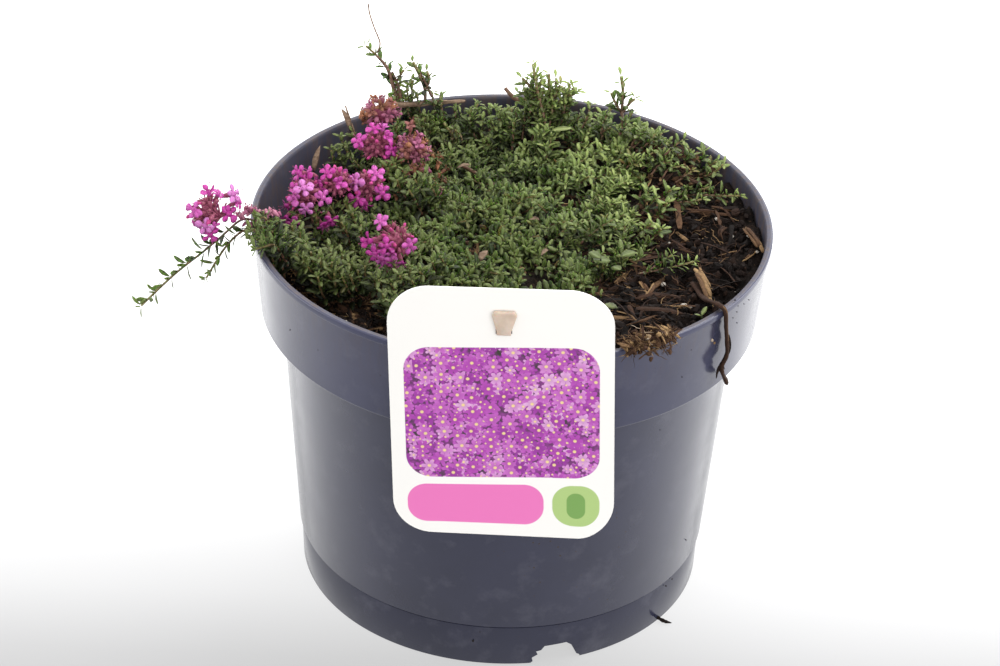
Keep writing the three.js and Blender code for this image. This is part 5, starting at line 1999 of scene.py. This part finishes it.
makeLabel()
makePeg()
print("label hung")


# Loose matter on the rim

looseForm = {
    "strip": [(66, -30, 139.5), (69, -44, 142), (72.5, -56.5, 147.8), (75.4, -58.6, 146.4),
              (76.3, -58.1, 139), (77.6, -55.4, 127), (75.8, -57.7, 122), (78.5, -53.5, 113)],
    "clumpStart": (42, -86.5, 148.6),
    "clumpRun": (14, 9, 0),
    "clumpShreds": 460,
    "clumpSeed": 91,
    "stripSeed": 77,
    "stripRadius": 1.85,
    "stripUneven": 0.8,
    "stripStrands": 7,
    "twig": [(-46, 79, 147.7), (-37, 82, 147), (-27.4, 84, 147.1), (-19.7, 85.5, 147.1)],
}


def makeStrip(finish):
    shape = emptyShape()
    f = looseForm
    rng = Random(f["stripSeed"])
    path = smoothPath(f["strip"], 6)
    swells = [noise.noise(Vector((k * 0.45, 0, 3))) for k in range(len(path))]
    radii = [f["stripRadius"] + f["stripUneven"] * swell for swell in swells]
    radii[-1] = 0.3
    addTube(shape, path, radii, 7, flat=0.42, tone=0.5)
    pale = [p + Vector((0.5, -0.7, 0.2)) for p in path[12:30]]
    addTube(shape, pale, taper(pale, 0.8, 0.3), 6, flat=0.5, tone=0.8)
    for _ in range(f["stripStrands"]):
        first = rng.randrange(0, len(path) - 14)
        last = first + rng.randrange(9, 14)
        drift = wobble(rng, 0.6, 0.3, 0.5)
        strand = [p + drift * (0.6 + 0.5 * sin(j * 0.7)) for j, p in enumerate(path[first:last])]
        addTube(shape, strand, taper(strand, 0.5, 0.12), 4, tone=rng.uniform(0.25, 0.75))
    fork = branch(path[-9], (-1.6, -0.6, -3), (-1.9, -0.8, -6), 3)
    addTube(shape, fork, [0.9, 0.8, 0.7, 0.55, 0.4, 0.3, 0.15], 5, tone=0.35)
    addPiece("bark_fibre_strip", shape, finish, "bark", "bark_strip")


def makeClump(shapes, finish):
    rng = Random(looseForm["clumpSeed"])
    start = Vector(looseForm["clumpStart"])
    run = Vector(looseForm["clumpRun"])
    spots = []
    for _ in range(looseForm["clumpShreds"]):
        share = rng.random() ** 1.3
        spread = 1.15 * sin(pi * min(0.9, max(0.2, share)))
        drift = Vector((rng.gauss(0, 2.4), rng.gauss(0, 2.2), rng.gauss(-0.9, 1.4)))
        place = start + run * share + drift * spread
        kind = rng.choice([0, 1, 2, 3, 4, 5, 6, 7, 8, 6, 7])
        size = rng.uniform(0.35, 0.85) if kind >= 3 else rng.uniform(0.6, 1.25)
        spots.append(spotAt(place, kind, flatTurn(rng, 0.9, 0.9), size, rng.uniform(0.5, 0.95)))
    settle(strewn("peat_shreds", spots, shapes, finish, 8, 0.15), "bark", "peat_clump")


def makeTwig(finish):
    shape = emptyShape()
    path = smoothPath(looseForm["twig"], 6)
    radii = [1.3 - 0.035 * k + 0.16 * sin(k * 1.3) for k in range(len(path))]
    addTube(shape, path, radii, 8)
    fork = branch(path[6], (6, 0.5, 1.2), (13, 1.4, 1.0), 4)
    addTube(shape, fork, taper(fork, 0.7, 0.25), 5)
    addPiece("dry_twig_bark", shape, finish, "dry_stem", "dry_twig")


smallForm = {
    # pixel and depth along Y
    "hair": [(377, 53, 90.5), (380, 43, 92.5), (374, 27, 96), (369.5, 13, 99), (368.5, 4, 100)],
    # pixel, depth along Y, length, width, turn and rise in degrees
    "deadLeaves": [
        (350, 131, 60, 9.0, 2.6, 125, 62), (314, 174, 34, 10.5, 2.4, 70, 75),
        (480, 262, -22, 5.5, 3.0, 60, 40), (541, 222, 8, 5.0, 2.8, 200, 35),
        (472, 166, 46, 6.0, 2.0, 200, 15), (549, 250, -16, 5.5, 2.0, 240, 20),
    ],
    # pixel, lift, length, width, turn, rise, leaf tone
    "broadLeaves": [
        (602, 260, 5.0, 7.2, 6.2, 200, 12, 0.62), (616, 268, 3.6, 4.6, 4.2, 320, 10, 0.6),
        (595, 255, 6.5, 5.4, 4.6, 150, 14, 0.55), (628, 254, 5.5, 6.2, 4.6, 20, 12, 0.52),
        (561, 129, 6.0, 8.6, 3.8, 2, 12, 0.95), (611, 306, 2.0, 5.2, 4.0, 170, 10, 1.0),
        (704, 311, 2.4, 4.4, 1.8, 60, 30, 0.8), (699, 315, 2.0, 3.8, 1.6, 200, 25, 0.75),
    ],
    # pixels, depth along Y at both ends, radius at both ends
    "woody": [
        ([(536, 106), (527, 100), (518, 100), (511, 95), (505, 88)], 76, 83, 1.2, 0.7),
        ([(398, 101), (394, 89), (391, 78), (386, 66), (377, 56)], 82, 90, 1.0, 0.5),
        ([(401, 99), (397, 84), (392, 72)], 82, 88, 0.8, 0.5),
        ([(432, 97), (426, 84), (420, 72)], 82, 87, 0.5, 0.4),
        ([(551, 152), (547, 130), (542, 106)], 62, 77, 1.0, 0.7),
        ([(563, 125), (562, 108), (560, 98)], 74, 80, 0.7, 0.4),
        ([(462, 165), (474, 172), (484, 177), (496, 186)], 48, 36, 0.7, 0.4),
    ],
    # pixels with a lift each, width, tone
    "bark": [
        ([(695, 270, 4), (701, 279, 4), (706, 290, 3.5), (711, 304, 3)], 2.6, 0.93),
        ([(698, 268, 4), (703, 277, 3), (709, 287, 3)], 1.8, 0.88),
        ([(744, 227, 2), (751, 235, 3), (757, 243, 3), (761, 252, 1.5)], 2.6, 0.86),
        ([(655, 208, 2), (661, 217, 2.5), (672, 221, 1.5)], 2.0, 0.72),
        ([(690, 212, 2), (703, 211, 2.5), (718, 212, 1.5)], 1.5, 0.7),
        ([(640, 272, 1.5), (650, 270, 2), (663, 268, 1.5)], 1.3, 0.6),
        ([(700, 176, 2.5), (712, 170, 3), (722, 163, 4)], 1.7, 0.74),
        ([(688, 180, 2.5), (697, 183, 3), (706, 184, 2)], 2.4, 0.6),
        ([(632, 262, 2), (646, 259, 3), (660, 257, 3), (668, 260, 1.5)], 0.9, 0.66),
        ([(632, 264, 2), (642, 268, 2.4), (650, 276, 1.2)], 0.7, 0.7),
        ([(640, 281, 1.5), (645, 288, 2), (650, 295, 1.5)], 1.6, 0.86),
        ([(643, 300, 1.5), (651, 291, 2.4), (655, 283, 1.5)], 1.3, 0.88),
        ([(625, 327, 1.5), (640, 322, 2), (658, 316, 1.5)], 1.4, 0.78),
        ([(742, 262, 1), (750, 256, 1.6), (757, 251, 1.2)], 1.0, 0.92),
        ([(676, 246, 1), (686, 251, 1.6), (694, 253, 1)], 0.9, 0.72),
        ([(722, 240, 1), (720, 232, 1.8), (726, 227, 1.2)], 1.5, 0.62),
        ([(316, 292, -4), (324, 288, -3.5), (333, 286, -3.5), (345, 287, -4)], 1.0, 0.9),
        ([(331, 297, -4), (338, 294, -3.5), (347, 296, -4)], 1.1, 0.93),
        ([(291, 272, -3), (300, 270, -2.5), (312, 268, -3)], 1.0, 0.86),
        ([(322, 301, -4), (333, 306, -3.5), (341, 313, -4)], 1.0, 0.78),
        ([(352, 311, -4), (360, 305, -3.5), (371, 303, -4)], 1.2, 0.74),
    ],
    "grains": [(717, 219, 0.9), (757, 252, 0.8), (684, 306, 1.3), (749, 236, 0.9), (690, 307, 0.9)],
    # pixel, size, tone
    "specks": [
        (712, 340, 1.0, 0.8), (714, 343, 0.8, 0.7), (735, 300, 0.45, 0.1), (738, 306, 0.35, 0.1),
        (742, 297, 0.4, 0.1), (737, 312, 0.4, 0.1), (744, 304, 0.3, 0.1), (733, 318, 0.35, 0.1),
        (749, 300, 0.35, 0.1), (691, 350, 0.3, 0.1), (682, 377, 0.4, 0.1), (737, 323, 0.4, 0.1),
        (666, 586, 0.5, 0.1), (672, 579, 0.4, 0.1), (473, 641, 0.6, 0.1), (686, 540, 0.35, 0.1),
        (660, 430, 0.3, 0.1), (318, 350, 0.3, 0.1), (290, 330, 0.35, 0.2), (480, 632, 0.3, 0.1),
    ],
}


# Small things that lie on the plant and the mix, each given one by one
def makeSmallThings(finish):
    dry = emptyShape()
    hair = smoothPath([pixelAtDepth(*spot) for spot in smallForm["hair"]], 4)
    addTube(dry, hair, taper(hair, 0.3, 0.3), 6)
    spike = branch(Vector((-60, 66, 134)), (-2, 2, 9), (-5, 5, 17), 4)
    addTube(dry, spike, taper(spike, 0.9, 0.3), 6)
    for x, y, away, length, width, turn, rise in smallForm["deadLeaves"]:
        place = Matrix.Translation(pixelAtDepth(x, y, away)) @ swing(radians(turn), "Z")
        place = place @ swing(-radians(rise), "Y")
        addBlade(dry, place, length, width, 3, 0.5, 0.2, 0.5, 0.6, 0.05)
    addPiece("dry_stalks", dry, finish, "dry_stem")


# Broad leaves that aren't thyme: seedlings at the mat's edge and single leaves
def makeBroadLeaves(finish):
    shape = emptyShape()
    for x, y, lift, length, width, turn, rise, shade in smallForm["broadLeaves"]:
        spot = pixelOnTop(x, y, lift)
        way = swing(radians(turn), "Z") @ swing(-radians(rise), "Y")
        place = Matrix.Translation(spot) @ way @ Matrix.Translation((-length / 2, 0, 0))
        addBlade(shape, place, length, width, 4, 0.52, 0.05, 0.1, 0.1, 0.03, leafTone=shade,
                 shootTone=shade, along=0.75)
        base = place @ Vector((0.3, 0, 0))
        root = Vector((base.x, base.y, max(groundLevel(base.x) - 0.5, base.z - 7)))
        stalk = smoothPath([root, root.lerp(base, 0.5) + Vector((0.4, 0.2, 0)), base], 3)
        addTube(shape, stalk, 0.32, 5, leafTone=shade, shootTone=shade, rib=1.0)
    addPiece("broad_leaves", shape, finish, "leaf")


# Bare woody stems that show between the leaves
def makeWoodyStems(finish):
    shape = emptyShape()
    for pixels, near, far, first, last in smallForm["woody"]:
        path = pixelPath(pixels, near, far, 4)
        addTube(shape, path, taper(path, first, last), 6, stemShare=1.0)
    addPiece("woody_stems", shape, finish, "leaf")


# Pieces of bark and white grains with a place of their own on the mix
def makeMarkedPieces(finish):
    shape = emptyShape()
    for k, (dots, width, shade) in enumerate(smallForm["bark"]):
        path = smoothPath([pixelOnTop(x, y, lift) for x, y, lift in dots], 4)
        for strand in range(3):
            side = k + strand * 2.1
            drift = Vector((sin(side), cos(side), 0.4 * strand)) * width * 0.36
            moved = [p + drift for p in path]
            cut = moved[strand:len(moved) - (strand * 2) % 3]
            swells = [noise.noise(Vector((j * 0.7, strand * 5, k))) for j in range(len(cut))]
            radii = [width * 0.4 * (1 + 0.4 * swell) for swell in swells]
            radii[0] *= 0.6
            radii[-1] *= 0.4
            addTube(shape, cut, radii, 6, flat=0.5, tone=shade - 0.07 * strand)
    for k, (x, y, size) in enumerate(smallForm["grains"]):
        addLump(shape, pixelOnTop(x, y, 0.8), (size, size * 0.8, size * 0.7), k + 3, 8, 6, 0.6, tone=1.0)
    addPiece("marked_bark", shape, finish, "potting_mix")


# Crumbs and shreds in the open places of the mat
def makeOpenLitter(shapes, finish):
    rng = Random(matForm["litterSeed"])
    spots = []
    for x, y, reach in matForm["hollows"]:
        middle = pixelOnTop(x, y)
        for _ in range(int(reach * reach * matForm["litterShare"])):
            a = rng.uniform(0, 2 * pi)
            x, y = onCircle((reach + 1.5) * sqrt(rng.random()), a)
            spot = Vector((middle.x + x, middle.y + y, 0))
            if hypot(spot.x, spot.y) > matForm["litterReach"]:
                continue
            inMat = matShare(spot.x, spot.y) < 1
            level = tangleTop(spot.x, spot.y) if inMat else mixRelief(spot.x, spot.y)
            spot.z = level + rng.uniform(0.2, 1.2)
            kind = rng.choice([0, 1, 2, 3, 4, 5, 6, 7, 8])
            size = rng.uniform(0.5, 1.1) if kind >= 3 else rng.uniform(0.6, 1.5)
            spots.append(spotAt(place=spot, kind=kind, stretch=size, shade=rng.uniform(0.2, 0.93),
                                turn=flatTurn(rng, 0.6, 0.4)))
    settle(strewn("litter_in_mat", spots, shapes, finish, 21), "potting_mix")


# Distance from the pot's axis to its outside at a level
def potOuter(z):
    f = potForm
    if z > f["shoulder"]:
        share = (z - f["shoulder"]) / (f["height"] - f["beadHeight"] - f["shoulder"])
        return f["collarFoot"] + (f["rimRadius"] - f["beadStep"] - f["collarFoot"]) * share
    share = (z - f["grooveHeight"]) / (f["shoulder"] - f["grooveHeight"])
    return f["grooveRadius"] + (f["bodyTop"] - f["grooveRadius"]) * share


def pixelOnPot(x, y):
    eye, way = sightOf(x, y)
    reach = 900.0
    spot = eye + way * reach
    while hypot(spot.x, spot.y) > potOuter(spot.z) and reach < 1500:
        reach += 0.1
        spot = eye + way * reach
    return spot


# Bits of mix that stick to the outside of the pot
def makeSpecks(finish):
    shape = emptyShape()
    for k, (x, y, size, shade) in enumerate(smallForm["specks"]):
        extent = (size * 0.7, size * 0.5, size * 0.7)
        addLump(shape, pixelOnPot(x, y), extent, k, 6, 4, 0.7, tone=shade + 0.15)
    # a bit of root against the foot
    root = smoothPath([(60, -44.7, 1.3), (62, -46.2, 1.0), (63.6, -47, 0.85), (65.7, -47.3, 0.6)], 3)
    addTube(shape, root, [0.5, 0.75, 0.55, 0.7, 0.8, 0.6, 0.7, 0.5, 0.35, 0.15], 6, tone=0.12)
    addPiece("clinging_specks", shape, finish, "potting_mix")


dryWood = grainFinish("dryWood", (900, 4, 0.65),
                      {0.3: (92, 72, 58), 0.6: (142, 120, 100), 0.8: (176, 156, 134)},
                      (0.5, 0.4), stretch=(0.25, 1, 1), Roughness=0.8, Specular_IOR_Level=0.25)
makeStrip(looseBark)
makeClump(looseSet, looseBark)
makeTwig(dryWood)
makeSmallThings(dryWood)
makeBroadLeaves(thymeGreen)
makeWoodyStems(thymeGreen)
makeMarkedPieces(looseBark)
makeOpenLitter(looseSet, looseBark)
makeSpecks(looseBark)
dropCollection(looseSet)
print("loose matter laid")


print("all pieces made")
